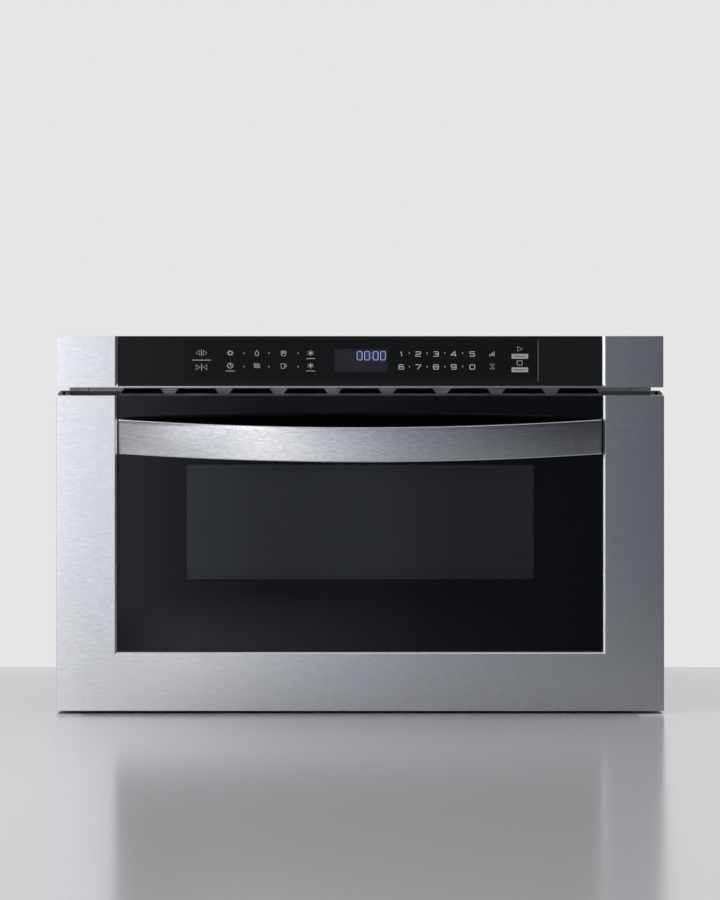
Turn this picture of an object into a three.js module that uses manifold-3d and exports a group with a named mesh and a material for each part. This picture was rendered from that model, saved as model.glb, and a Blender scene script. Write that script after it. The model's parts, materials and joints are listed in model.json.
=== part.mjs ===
// Built-in microwave drawer: a fixed oven case and a motor-driven drawer that slides out of its front.
// Millimetres, +Z up, the front faces -Y. The origin is on the shelf, under the middle of the object.

import * as THREE from 'three';
import { mergeVertices } from 'three/addons/utils/BufferGeometryUtils.js';
import Module from 'manifold-3d';

const wasm = await Module();
wasm.setup();

// ---------------------------------------------------------------- driving dimensions

// Clearances
const SEAT_GAP = 0.25; // between pieces that are fastened to each other
const RUN_GAP = 0.5; // between pieces that slide or turn past each other

// Front, as seen from the room
const FRONT_OVERHANG = 11.2; // drawer front past the mounting flange, each side
const SHELF_GAP = 3; // shelf to the lower edge of the drawer front
const DOOR_TOP_MARGIN = 21.45; // choke panel to the upper edge of the drawer front
const VENT_BAND = 8; // open band between the drawer front and the control row
const CONTROL_HEIGHT = 51.3;
const CONTROL_INSET = 0.8; // each end of the control row stands inside the drawer front's end
const FRONT_THICKNESS = 38; // frame face to the back of the drawer front
const FRONT_GAP = 2; // back of the drawer front to the mounting flange
const STILE_WIDTH = 61.5;
const RAIL_HEIGHT = 59.5;
const FRAME_SHEET = 1.5;
const FRAME_LIP = 10; // depth of the return beside the glass
const FRAME_PROUD = 2; // frame face ahead of the glass
const FRAME_CHAMFER = 2.8; // width of the slope from the frame's face down to the glass
const GLASS_THICKNESS = 4;
const GLASS_EDGE_GAP = 0.5;
const GLASS_CORNER = 4;
const CAP_HEIGHT = 4.5; // end caps that close the tops of the stiles
const CAP_DEPTH = 18;
const CAP_CHAMFER = 3;

// Window in the drawer front
const WINDOW_WIDTH = 346.6;
const WINDOW_HEIGHT = 114.7;
const WINDOW_SILL = 71; // lower edge of the glass to the lower edge of the window
const SCREEN_MARGIN = 6; // the screen reaches this far past the window
const SCREEN_THICKNESS = 1;

// Handle and finger pocket
const HANDLE_DROP = 23.5; // top of the drawer front to the handle's upper edge, at its ends
const HANDLE_HEIGHT = 35;
const HANDLE_SAG = 7.8; // the middle hangs lower than the ends
const HANDLE_PROUD = 28; // middle of the handle ahead of the glass
const HANDLE_BOW = 14; // middle of the handle ahead of its ends
const HANDLE_LEAN = 4; // upper edge ahead of the lower edge
const HANDLE_WALL = 2;
const HANDLE_EDGE = 1.5; // bevel along the long edges
const HANDLE_END_GAP = 1; // handle to the stiles
const HANDLE_STEPS = 20;
const POCKET_MARGIN = 5; // glass left beside the pocket
const POCKET_LIP = 1.5; // pocket above the handle's upper edge, at its ends
const POCKET_ARCH = 5.1; // the middle of the pocket's top is higher than its ends
const POCKET_FLOOR = 5; // pocket floor above the handle's lower edge
const POCKET_WALL = 2;
const LINER_GAP = 1.5; // back of the pocket liner to the choke panel

// Door core, choke panel and choke cover
const CORE_PLATE = 5;
const CORE_WALL = 3;
const CHOKE_PANEL_THICKNESS = 9.5;
const CHOKE_OVERLAP = 30; // choke panel past the mouth of the oven, each side
const CHOKE_GROOVE_DEPTH = 6;
const CHOKE_GROOVE_WIDTH = 16;
const CHOKE_GROOVE_OFFSET = 3; // mouth of the oven to the groove
const CHOKE_SHEET = 1.5;

// Cooking space, drawer pan and oven cavity
const COOK_WIDTH = 440;
const COOK_DEPTH = 421;
const COOK_HEIGHT = 179; // ceramic plate to the oven's ceiling
const PAN_SHEET = 1.5;
const PAN_HEIGHT = 150;
const PAN_RIM = 3; // rolled rim stands out from the pan's walls
const PAN_CLEARANCE = 6; // pan wall to oven wall
const PAN_BACK_CLEARANCE = 8;
const PAN_LIFT = 5; // pan above the oven's floor
const PLATE_THICKNESS = 5;
const CAVITY_SHEET = 1.5;

// Case
const SIDE_ROOM = 50.5; // oven wall to the inside of the side panel, for the slides
const REAR_ROOM = 90.5; // oven's back to the rear panel, for the fan
const HEADROOM = 6.5; // tallest component on the oven to the top cover
const CASE_SHEET = 1.5;
const CASE_HEM = 14; // folded edges of base pan and side panels
const STAND_WIDTH = 36; // folded stands under the back of the oven
const STAND_SPACING = 300;
const FLANGE_OVERLAP = 11; // flange past the side of the case
const FLANGE_FOOT = 8; // lower edge of the flange above the shelf
const FLANGE_TOP_GAP = 5; // upper edge of the flange under that of the control row
const FLANGE_SHEET = 2;
const FLANGE_PAD = 0.5; // raised strips behind the flange that seat on the cabinet
const FLANGE_HOLE = 5; // diameter of the cabinet screws' holes
const FLANGE_HOLE_LOW = 52; // lower pair of holes above the flange's lower edge
const FLANGE_HOLE_HIGH = 72; // upper pair of holes under the flange's upper edge
const REAR_SLOT_COUNT = 9;
const REAR_SLOT_WIDTH = 6;
const REAR_SLOT_HEIGHT = 56;
const REAR_SLOT_PITCH = 13;

// Vent grille in the band over the drawer front
const GRILLE_SLOTS = 9;
const GRILLE_PITCH = 54.8;
const GRILLE_SLOT_WIDTH = 42.3;
const GRILLE_SLOT_HEIGHT = 4.8;
const GRILLE_SLOT_TAPER = 2; // each upper corner is cut back by this
const GRILLE_DEPTH = 6;
const GRILLE_SEAM = 1.5; // dark seam between the grille and the flange's end tabs
const GRILLE_CLEARANCE = 0.8; // grille to the drawer front under it
const TAB_HEIGHT = 4;
const TAB_WIDTH = 17.5;

// Control row
const CONTROL_RAIL = 1; // thin rail of the control frame under the glass
const HOUSING_SHEET = 1.5;
const MEMBRANE_WIDTH = 355;
const MEMBRANE_HEIGHT = 40.6;
const MEMBRANE_THICKNESS = 0.5;
const MEMBRANE_SILL = 5.5; // lower edge of the control glass to the membrane
const DISPLAY_WIDTH = 53;
const DISPLAY_HEIGHT = 23;
const DISPLAY_DEPTH = 12;
const DISPLAY_SILL = 11; // lower edge of the control glass to the display
const BOARD_WIDTH = 330;
const BOARD_HEIGHT = 36;
const BOARD_THICKNESS = 1.6;
const BOSS_SIZE = 6;

// Drawer slides, one at each side of the oven
const SLIDE_OVERLAP = 50; // slides are longer than the drawer's travel by this
const SLIDE_HEIGHT = 46;
const SLIDE_WIDTH = 12.5;
const SLIDE_SHEET = 1.5;
const SLIDE_RISE = 36; // middle of the slides above the oven's underside
const DRAWER_TRAVEL = 380;
const ARM_SHEET = 2;
const ARM_HEIGHT = 30;
const ARM_LENGTH = 90;
const ARM_FOOT = 22;
const SLOT_MARGIN = 2; // flange slots around what passes through them

// Rack and pinion under the oven
const GEAR_MODULE = 2;
const PINION_TEETH = 16;
const PINION_WIDTH = 14;
const PINION_SETBACK = 36; // pinion behind the flange
const PRESSURE_ANGLE = THREE.MathUtils.degToRad(20);
const TOOTH_SHARE = 0.42; // share of the pitch that a tooth fills, the rest is backlash
const RACK_X = -60;
const RACK_WIDTH = 12;
const RACK_BACK = 8; // height of the rack's solid bar
const RACK_END = 14; // rack past the pinion when the drawer is open
const RACK_ROOM = 18; // saddle over the rack to the oven's underside
const PINION_FLOOR_GAP = 6.25; // tips of the pinion's teeth above the base pan
const RACK_FOOT_HEIGHT = 20;
const SHAFT_RADIUS = 5;
const GEARBOX_WIDTH = 62;
const GEARBOX_DEPTH = 56;
const MOTOR_RADIUS = 20;
const MOTOR_LENGTH = 66;
const SADDLE_DEPTH = 22;
const SADDLE_SHEET = 3;

// Interlock switches and the drawer's latch fingers
const FINGER_OFFSET = 18.5; // fingers and switches beside the mouth of the oven
const FINGER_DROP = 15.25; // fingers and switches under the oven's ceiling
const FINGER_WIDTH = 6;
const FINGER_HEIGHT = 8;
const FINGER_LENGTH = 24;
const FINGER_FOOT = 14;
const PLUNGER_RADIUS = 2;
const PLUNGER_LENGTH = 9;
const PLUNGER_SHOW = 4; // plunger ahead of the switch body
const SWITCH_WIDTH = 14;
const SWITCH_HEIGHT = 22;
const SWITCH_DEPTH = 30;
const SWITCH_BRACKET = 2;

// Stirrer and its well over the oven
const WELL_SIZE = 150;
const WELL_HEIGHT = 26;
const WELL_SETBACK = 195; // middle of the well behind the flange
const WELL_SHEET = 1.5;
const WELL_LIP = 8; // ceiling left inside the well's footprint
const STIRRER_RADIUS = 60;
const STIRRER_BLADES = 3;
const STIRRER_SHAFT = 3;
const STIRRER_HUB = 9;
const STIRRER_HUB_HEIGHT = 8;
const STIRRER_BLADE_WIDTH = 24;
const STIRRER_BLADE_SHEET = 2;
const STIRRER_TWIST = THREE.MathUtils.degToRad(12);
const STIRRER_RISE = 11; // blades above the oven's top
const STIRRER_MOTOR_RADIUS = 24;
const STIRRER_MOTOR_HEIGHT = 20;
const STIRRER_EARS = 72; // over the motor's two fixing ears
const STIRRER_EAR_WIDTH = 12;
const COVER_THICKNESS = 2;

// Microwave generator
const WAVEGUIDE_WIDTH = 84;
const WAVEGUIDE_HEIGHT = 40;
const WAVEGUIDE_SHEET = 1.5;
const MAGNETRON_SIZE = 76;
const MAGNETRON_SIDE_GAP = 20; // magnetron to the side panel
const MAGNETRON_FINS = 7;
const FIN_THICKNESS = 1.2;
const MAGNETRON_CORE = 19;
const MAGNETRON_YOKE = 2;
const FIN_INSET = 5; // fins from the yoke's front and back
const ANTENNA_RADIUS = 8;
const ANTENNA_LENGTH = 16;
const TRANSFORMER_WIDTH = 96;
const TRANSFORMER_DEPTH = 78;
const TRANSFORMER_HEIGHT = 80;
const TRANSFORMER_SIDE_GAP = 26.5; // transformer to the side panel
const COIL_OVERHANG = 12;
const COIL_WIDTH = 63;
const COIL_HEIGHT = 24;
const COIL_INSET = 14; // coils from the core's lower and upper side
const CAPACITOR_WIDTH = 50;
const CAPACITOR_DEPTH = 32;
const CAPACITOR_HEIGHT = 84;
const CAPACITOR_GAP = 12; // transformer's coils to the capacitor behind them
const CAPACITOR_TAG = 7; // terminals above the can
const CAPACITOR_TAG_WIDTH = 6;
const CAPACITOR_TAG_SHEET = 1.5;

// Cooling fan and its duct
const FAN_SIZE = 92;
const FAN_DEPTH = 26;
const FAN_SIDE_GAP = 7.5; // fan to the side panel
const FAN_BLADES = 7;
const FAN_TIP_GAP = 2;
const FAN_WALL = 3;
const FAN_HUB = 18;
const FAN_STRUT = 4;
const FAN_VANE_WIDTH = 22;
const FAN_VANE_SHEET = 1.6;
const FAN_VANE_SLANT = THREE.MathUtils.degToRad(52);
const FAN_MOUTH = 2; // rotor behind the fan's front face
const DUCT_SHEET = 1.5;
const DUCT_LENGTH = 70;

// Lamp, terminal block and cord gland
const LAMP_SETBACK = 300; // lamp behind the flange
const LAMP_RISE = 139.5; // lamp above the oven's floor
const LAMP_WINDOW = 26;
const LAMP_BODY = 38;
const LAMP_DEPTH = 16;
const LAMP_BULB = 9;
const LAMP_SHEET = 2;
const TERMINAL_WIDTH = 60;
const TERMINAL_DEPTH = 24;
const TERMINAL_HEIGHT = 30;
const TERMINAL_PITCH = 18;
const TERMINAL_SCREW = 4;
const TERMINAL_BORE = 8;
const GLAND_INSET = 79.5; // gland from the side panel
const GLAND_DROP = 36.25; // gland under the upper edge of the rear panel
const GLAND_RADIUS = 13;
const GLAND_NECK = 9;
const GLAND_BORE = 5;
const GLAND_PROUD = 6;

// ---------------------------------------------------------------- places worked out from the sizes

const baseTop = CASE_SHEET + SEAT_GAP; // what stands on the base pan stands at this height

// Rack and pinion, from the base pan upwards
const pinionRadius = (GEAR_MODULE * PINION_TEETH) / 2;
const toothPitch = Math.PI * GEAR_MODULE;
const addendum = GEAR_MODULE;
const dedendum = 1.25 * GEAR_MODULE;
const pinionLevel = baseTop + PINION_FLOOR_GAP + pinionRadius + addendum;
const rackLevel = pinionLevel + pinionRadius;
const rackRoot = rackLevel + dedendum;
const saddleBottom = rackRoot + RACK_BACK + RUN_GAP;
const saddleTop = saddleBottom + SADDLE_SHEET;

// Oven and drawer front, upwards
const ovenBottom = saddleTop + RACK_ROOM;
const cavityFloor = ovenBottom + CAVITY_SHEET;
const panBottom = cavityFloor + PAN_LIFT;
const plateBottom = panBottom + PAN_SHEET + SEAT_GAP;
const plateTop = plateBottom + PLATE_THICKNESS;
const cavityCeiling = plateTop + COOK_HEIGHT;
const cavityTop = cavityCeiling + CAVITY_SHEET;
const deck = cavityTop + SEAT_GAP; // what stands on the oven stands at this height
const chokeBottom = cavityFloor - CHOKE_OVERLAP;
const chokeTop = cavityCeiling + CHOKE_OVERLAP;
const doorBottom = SHELF_GAP;
const doorTop = chokeTop + DOOR_TOP_MARGIN;
const controlBottom = doorTop + VENT_BAND;
const controlTop = controlBottom + CONTROL_HEIGHT;
const railTop = doorBottom + RAIL_HEIGHT;
const glassBottom = railTop + GLASS_EDGE_GAP;
const windowBottom = glassBottom + WINDOW_SILL;
const windowTop = windowBottom + WINDOW_HEIGHT;
const slideLevel = ovenBottom + SLIDE_RISE;
const fingerLevel = cavityCeiling - FINGER_DROP;
const lampLevel = cavityFloor + LAMP_RISE;
const tallest = Math.max(FAN_SIZE, MAGNETRON_SIZE, TRANSFORMER_HEIGHT, CAPACITOR_HEIGHT + CAPACITOR_TAG);
const coverBottom = deck + tallest + HEADROOM;
const panelTop = coverBottom - SEAT_GAP;
const flangeTop = controlTop - FLANGE_TOP_GAP;
const glandLevel = panelTop - GLAND_DROP;

// Width, from the middle outwards
const windowHalf = WINDOW_WIDTH / 2;
const cookHalf = COOK_WIDTH / 2;
const panHalf = cookHalf + PAN_SHEET;
const mouthHalf = panHalf + PAN_CLEARANCE;
const ovenHalf = mouthHalf + CAVITY_SHEET;
const fingerSide = mouthHalf + FINGER_OFFSET;
const chokeHalf = mouthHalf + CHOKE_OVERLAP;
const sideInner = ovenHalf + SIDE_ROOM;
const caseHalf = sideInner + CASE_SHEET;
const flangeHalf = caseHalf + FLANGE_OVERLAP;
const grilleHalf = flangeHalf - TAB_WIDTH - GRILLE_SEAM;
const halfFront = flangeHalf + FRONT_OVERHANG;
const openHalf = halfFront - STILE_WIDTH; // opening of the frame around the glass
const glassHalf = openHalf - GLASS_EDGE_GAP;
const handleHalf = openHalf - HANDLE_END_GAP;
const pocketHalf = glassHalf - POCKET_MARGIN;
const controlHalf = halfFront - CONTROL_INSET;

// Depth, from the middle of the whole length outwards
const frontDepth = HANDLE_PROUD - FRAME_PROUD + FRONT_THICKNESS;
const ovenDepth = COOK_DEPTH + PAN_SHEET + PAN_BACK_CLEARANCE + CAVITY_SHEET;
const fullDepth = frontDepth + ovenDepth + REAR_ROOM + CASE_SHEET + GLAND_PROUD;
const glassFront = -fullDepth / 2 + HANDLE_PROUD;
const glassBack = glassFront + GLASS_THICKNESS;
const frameFront = glassFront - FRAME_PROUD;
const doorBack = frameFront + FRONT_THICKNESS;
const chokeFront = doorBack - CHOKE_PANEL_THICKNESS;
const linerBack = chokeFront - LINER_GAP;
const flangeFront = doorBack + FRONT_GAP;
const flangeBack = flangeFront + FLANGE_SHEET;
const caseFront = flangeBack + SEAT_GAP;
const panFront = doorBack + SEAT_GAP;
const panInnerBack = doorBack + COOK_DEPTH;
const cavityInnerBack = panInnerBack + PAN_SHEET + PAN_BACK_CLEARANCE;
const cavityBack = cavityInnerBack + CAVITY_SHEET;
const rearPanelFront = cavityBack + REAR_ROOM;
const caseBack = rearPanelFront + CASE_SHEET;
const pinionY = flangeFront + PINION_SETBACK;
const wellY = flangeFront + WELL_SETBACK;
const lampY = flangeFront + LAMP_SETBACK;
const slideLength = DRAWER_TRAVEL + SLIDE_OVERLAP;

// ---------------------------------------------------------------- shaping helpers

/** A closed geometry as a solid that can be cut and joined. */
function toSolid(geometry) {
  const bare = geometry.clone();
  bare.deleteAttribute('normal');
  bare.deleteAttribute('uv');
  const welded = mergeVertices(bare, 1e-4);
  const vertProperties = new Float32Array(welded.attributes.position.array);
  const triVerts = new Uint32Array(welded.index.array);
  return new wasm.Manifold(new wasm.Mesh({ numProp: 3, vertProperties, triVerts }));
}

function toGeometry(solid) {
  const mesh = solid.getMesh();
  const geometry = new THREE.BufferGeometry();
  geometry.setAttribute('position', new THREE.BufferAttribute(mesh.vertProperties, 3));
  geometry.setIndex(new THREE.BufferAttribute(mesh.triVerts, 1));
  geometry.computeVertexNormals();
  return geometry;
}

function join(...geometries) {
  return toGeometry(geometries.map(toSolid).reduce((sum, solid) => sum.add(solid)));
}

function cut(base, ...tools) {
  return toGeometry(tools.map(toSolid).reduce((rest, tool) => rest.subtract(tool), toSolid(base)));
}

/** A box from its lowest and highest x, y and z. */
function block([x0, x1], [y0, y1], [z0, z1]) {
  const geometry = new THREE.BoxGeometry(x1 - x0, y1 - y0, z1 - z0);
  return geometry.translate((x0 + x1) / 2, (y0 + y1) / 2, (z0 + z1) / 2);
}

/** The span from the middle of something to both sides. */
function span(middle, width) {
  return [middle - width / 2, middle + width / 2];
}

/** An outline in x and z, made thick from y0 to y1. */
function frontPlate(shape, [y0, y1], curveSegments = 4) {
  const options = { depth: y1 - y0, bevelEnabled: false, curveSegments };
  return new THREE.ExtrudeGeometry(shape, options).rotateX(Math.PI / 2).translate(0, y1, 0);
}

/** An outline in y and z, made thick from x0 to x1. */
function sidePlate(shape, [x0, x1]) {
  const options = { depth: x1 - x0, bevelEnabled: false };
  const turn = new THREE.Matrix4().makeBasis(
    new THREE.Vector3(0, 1, 0), new THREE.Vector3(0, 0, 1), new THREE.Vector3(1, 0, 0));
  return new THREE.ExtrudeGeometry(shape, options).applyMatrix4(turn).translate(x0, 0, 0);
}

function outline(points) {
  return new THREE.Shape(points.map(([a, b]) => new THREE.Vector2(a, b)));
}

/** A rectangle whose two lower corners are rounded. */
function roundFooted([x0, x1], [z0, z1], radius) {
  const shape = new THREE.Shape();
  shape.moveTo(x0, z1);
  shape.lineTo(x0, z0 + radius);
  shape.absarc(x0 + radius, z0 + radius, radius, Math.PI, 1.5 * Math.PI);
  shape.lineTo(x1 - radius, z0);
  shape.absarc(x1 - radius, z0 + radius, radius, 1.5 * Math.PI, 2 * Math.PI);
  shape.lineTo(x1, z1);
  shape.closePath();
  return shape;
}

/** A round bar along one axis, from its lower to its upper end. */
function bar(axis, radius, middle, [low, high], sides = 20) {
  const geometry = new THREE.CylinderGeometry(radius, radius, high - low, sides);
  const [a, b] = middle;
  const centre = (low + high) / 2;
  if (axis === 'x') return geometry.rotateZ(-Math.PI / 2).translate(centre, a, b);
  if (axis === 'y') return geometry.translate(a, centre, b);
  return geometry.rotateX(Math.PI / 2).translate(a, b, centre);
}

/** The same part at the other side of the middle plane. */
function mirrored(geometry) {
  return toGeometry(toSolid(geometry).mirror([1, 0, 0]));
}

/** A solid skin through rings of equally many points, closed at both ends. */
function loft(rings) {
  const count = rings[0].length;
  const index = [];
  for (let ring = 0; ring + 1 < rings.length; ring += 1) {
    for (let point = 0; point < count; point += 1) {
      const next = (point + 1) % count;
      const a = ring * count + point;
      const b = ring * count + next;
      index.push(a, b, b + count, a, b + count, a + count);
    }
  }
  const last = (rings.length - 1) * count;
  for (let point = 1; point + 1 < count; point += 1) {
    index.push(0, point + 1, point);
    index.push(last, last + point, last + point + 1);
  }
  const geometry = new THREE.BufferGeometry();
  geometry.setAttribute('position', new THREE.Float32BufferAttribute(rings.flat(2), 3));
  geometry.setIndex(index);
  return geometry;
}

/** Evenly spaced places across a width, both ends included. */
function stations(half, steps) {
  return Array.from({ length: steps + 1 }, (_, step) => -half + (2 * half * step) / steps);
}

// ---------------------------------------------------------------- materials

function finish(colour, roughness, metalness) {
  return new THREE.MeshStandardMaterial({ color: colour, roughness, metalness });
}

const stainless = finish(0xb4b6ba, 0.32, 1);
const blackGlass = finish(0x141416, 0.08, 0);
const blackPlastic = finish(0x0c0c0d, 0.5, 0);
const screenMetal = finish(0x3a3b3e, 0.45, 0.6);
const greySteel = finish(0x56575c, 0.45, 0.8);
const galvanised = finish(0xa9adb0, 0.4, 0.9);
const ovenEnamel = finish(0xc9cac6, 0.35, 0.1);
const ceramic = finish(0xe8e6df, 0.25, 0);
const zincSteel = finish(0xbfc2c6, 0.3, 1);
const motorSteel = finish(0x8d9095, 0.35, 0.9);
const acetal = finish(0xe4e4e0, 0.4, 0);
const copperWire = finish(0xb06a38, 0.35, 0.8);
const boardGreen = finish(0x1d5a36, 0.5, 0);
const mica = finish(0xc2b48f, 0.6, 0);
const bulbGlass = finish(0xfff3d0, 0.1, 0);

const drawer = new THREE.Group();
const microwave = new THREE.Group();
microwave.add(drawer);

function place(group, name, geometry, material) {
  const mesh = new THREE.Mesh(geometry, material);
  mesh.name = name;
  group.add(mesh);
}

// ---------------------------------------------------------------- drawer front

/** Wedge that opens a rectangle's edges towards the front: wide at the frame's face, true at the glass. */
function slopedOpening([x0, x1], [z0, z1]) {
  const slope = FRAME_CHAMFER / FRAME_PROUD;
  const ring = (y) => {
    const out = (glassFront - y) * slope;
    return [[x0 - out, y, z0 - out], [x1 + out, y, z0 - out], [x1 + out, y, z1], [x0 - out, y, z1]];
  };
  return loft([ring(glassFront + 1), ring(frameFront - 1)]);
}

/** U-shaped frame: a stainless face with returns, open at the back and at the top between the stiles. */
function doorFrame() {
  const face = block([-halfFront, halfFront], [frameFront, doorBack], [doorBottom, doorTop]);
  const opening = roundFooted([-openHalf, openHalf], [railTop, doorTop + 1], GLASS_CORNER);
  const through = frontPlate(opening, [frameFront - 1, doorBack + 1]);
  const slope = slopedOpening([-openHalf, openHalf], [railTop, doorTop + 1]);
  const inner = frameFront + FRAME_PROUD + FRAME_SHEET;
  const outer = halfFront - FRAME_SHEET;
  const lipInner = openHalf + FRAME_SHEET;
  const hollow = cut(
    block([-outer, outer], [inner, doorBack + 1], [doorBottom + FRAME_SHEET, doorTop - FRAME_SHEET]),
    block([-lipInner, lipInner], [inner - 1, frameFront + FRAME_LIP], [railTop - FRAME_SHEET, doorTop]));
  return cut(face, through, slope, hollow);
}

/** Small cap that stands on the top of a stile, with its outer corner cut off. */
function frameCap() {
  const inner = flangeHalf + RUN_GAP;
  const bottom = doorTop + SEAT_GAP;
  const shape = outline([
    [inner, bottom], [halfFront, bottom], [halfFront, bottom + CAP_HEIGHT - CAP_CHAMFER],
    [halfFront - CAP_CHAMFER, bottom + CAP_HEIGHT], [inner, bottom + CAP_HEIGHT]]);
  return frontPlate(shape, [doorBack - CAP_DEPTH, doorBack]);
}

const handleEndTop = doorTop - HANDLE_DROP;

/** How far the handle's curves have fallen from their ends at x: 0 at the ends, 1 in the middle. */
function arc(x) {
  return 1 - (x / handleHalf) ** 2;
}

function handleTop(x) {
  return handleEndTop - HANDLE_SAG * arc(x);
}

function handleBottom(x) {
  return handleTop(x) - HANDLE_HEIGHT;
}

/** The pocket's lens: its top arches up, its floor follows the handle's lower edge. */
function pocketOutline(inset) {
  const half = pocketHalf - inset;
  const across = stations(half, HANDLE_STEPS);
  const top = across.map((x) => [x, handleEndTop + POCKET_LIP + POCKET_ARCH * arc(x) - inset]);
  const floor = across.map((x) => [x, handleBottom(x) + POCKET_FLOOR + inset]);
  return outline([...floor, ...top.reverse()]);
}

function doorGlass() {
  const pane = roundFooted(
    [-glassHalf, glassHalf], [glassBottom, doorTop], GLASS_CORNER - GLASS_EDGE_GAP);
  pane.holes.push(pocketOutline(0));
  return frontPlate(pane, [glassFront, glassBack]);
}

/** Black tray in the glass, behind the handle: the space for the fingers. */
function pocketLiner() {
  const body = frontPlate(pocketOutline(SEAT_GAP), [glassFront + SEAT_GAP, linerBack]);
  const space = frontPlate(pocketOutline(SEAT_GAP + POCKET_WALL), [glassFront - 1, linerBack - POCKET_WALL]);
  return cut(body, space);
}

/** One ring of the handle's section at x, drawn in by the wall where it is the hollow's. */
function handleRing(x, inset) {
  const proud = HANDLE_PROUD - HANDLE_BOW * (1 - arc(x));
  const crest = glassFront - proud + inset;
  const top = handleTop(x);
  const bottom = handleBottom(x) + inset;
  const back = inset ? glassFront + 1 : glassFront - SEAT_GAP;
  const bevel = HANDLE_EDGE;
  const crown = inset ? top + 1 : top;
  return [
    [x, back, bottom], [x, back, crown], [x, crest + bevel, crown], [x, crest, crown - bevel],
    [x, crest + HANDLE_LEAN, bottom + bevel], [x, crest + HANDLE_LEAN + bevel, bottom]];
}

/** Curved bar: a bowed front wall, a floor back to the glass and two end walls, open at the top. */
function handle() {
  const outside = stations(handleHalf, HANDLE_STEPS).map((x) => handleRing(x, 0));
  const inside = stations(handleHalf - HANDLE_WALL, HANDLE_STEPS).map((x) => handleRing(x, HANDLE_WALL));
  return cut(loft(outside), loft(inside));
}

function windowScreen() {
  const half = windowHalf + SCREEN_MARGIN;
  const front = glassBack + SEAT_GAP;
  const heights = [windowBottom - SCREEN_MARGIN, windowTop + SCREEN_MARGIN];
  return block([-half, half], [front, front + SCREEN_THICKNESS], heights);
}

/** Moulded tray that fills the frame: carries glass, screen, pocket liner and choke panel. */
function doorCore() {
  const plug = glassBack + SEAT_GAP;
  const plate = frameFront + FRAME_LIP + SEAT_GAP;
  const back = chokeFront - SEAT_GAP;
  const half = halfFront - FRAME_SHEET - SEAT_GAP;
  const bottom = doorBottom + FRAME_SHEET + SEAT_GAP;
  const top = doorTop - FRAME_SHEET - SEAT_GAP;
  const front = roundFooted([-glassHalf, glassHalf], [glassBottom, top], GLASS_CORNER - GLASS_EDGE_GAP);
  const body = join(
    frontPlate(front, [plug, plate + CORE_PLATE]),
    block([-half, half], [plate, back], [bottom, top]));
  const hollow = block(
    [-half + CORE_WALL, half - CORE_WALL],
    [plate + CORE_PLATE, back + 1],
    [bottom + CORE_WALL, top - CORE_WALL]);
  const tunnel = block(
    [-windowHalf - CORE_WALL, windowHalf + CORE_WALL],
    [plate, back],
    [windowBottom - CORE_WALL, windowTop + CORE_WALL]);
  const light = block([-windowHalf, windowHalf], [plug - 1, back + 1], [windowBottom, windowTop]);
  const rebate = SCREEN_MARGIN + SEAT_GAP;
  const screenSeat = block(
    [-windowHalf - rebate, windowHalf + rebate],
    [plug - 1, plug + SCREEN_THICKNESS + SEAT_GAP],
    [windowBottom - rebate, windowTop + rebate]);
  const pocket = frontPlate(pocketOutline(0), [plug - 1, back + 1]);
  return cut(join(cut(body, hollow), tunnel), light, screenSeat, pocket);
}

/** Rectangular ring around the oven's mouth, from one offset to another. */
function mouthRing(inner, outer, depths) {
  return cut(
    block([-mouthHalf - outer, mouthHalf + outer], depths, [cavityFloor - outer, cavityCeiling + outer]),
    block([-mouthHalf - inner, mouthHalf + inner], [depths[0] - 1, depths[1] + 1],
      [cavityFloor - inner, cavityCeiling + inner]));
}

/** Steel back of the drawer front, with the window's opening and the groove that keeps microwaves in. */
function chokePanel() {
  const plate = block([-chokeHalf, chokeHalf], [chokeFront, doorBack], [chokeBottom, chokeTop]);
  const light = block([-windowHalf, windowHalf], [chokeFront - 1, doorBack + 1], [windowBottom, windowTop]);
  const groove = mouthRing(
    CHOKE_GROOVE_OFFSET, CHOKE_GROOVE_OFFSET + CHOKE_GROOVE_WIDTH,
    [doorBack - CHOKE_GROOVE_DEPTH, doorBack + 1]);
  const within = mouthHalf + CHOKE_GROOVE_OFFSET - CHOKE_SHEET;
  const hollow = cut(
    block([-within, within], [chokeFront - 1, doorBack - CHOKE_SHEET],
      [cavityFloor - CHOKE_GROOVE_OFFSET + CHOKE_SHEET, cavityCeiling + CHOKE_GROOVE_OFFSET - CHOKE_SHEET]),
    block([-windowHalf - CHOKE_SHEET, windowHalf + CHOKE_SHEET], [chokeFront - 2, doorBack],
      [windowBottom - CHOKE_SHEET, windowTop + CHOKE_SHEET]));
  return cut(plate, light, groove, hollow);
}

function chokeCover() {
  const inner = CHOKE_GROOVE_OFFSET + SEAT_GAP;
  const outer = CHOKE_GROOVE_OFFSET + CHOKE_GROOVE_WIDTH - SEAT_GAP;
  return mouthRing(inner, outer, [doorBack - CHOKE_GROOVE_DEPTH + SEAT_GAP, doorBack]);
}

// ---------------------------------------------------------------- drawer pan and running gear

/** Sheet pan with floor, two sides and a back; the drawer front closes it. */
function drawerPan() {
  const top = panBottom + PAN_SHEET + PAN_HEIGHT;
  const back = panInnerBack + PAN_SHEET;
  const body = join(
    block([-panHalf, panHalf], [panFront, back], [panBottom, top]),
    block([-panHalf - PAN_RIM, panHalf + PAN_RIM], [panFront, back + PAN_RIM], [top - PAN_SHEET, top]));
  const inside = block([-cookHalf, cookHalf], [panFront - 1, panInnerBack], [panBottom + PAN_SHEET, top + 1]);
  return cut(body, inside);
}

function ceramicPlate() {
  const half = cookHalf - RUN_GAP;
  return block([-half, half], [panFront + RUN_GAP, panInnerBack - RUN_GAP], [plateBottom, plateTop]);
}

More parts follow.
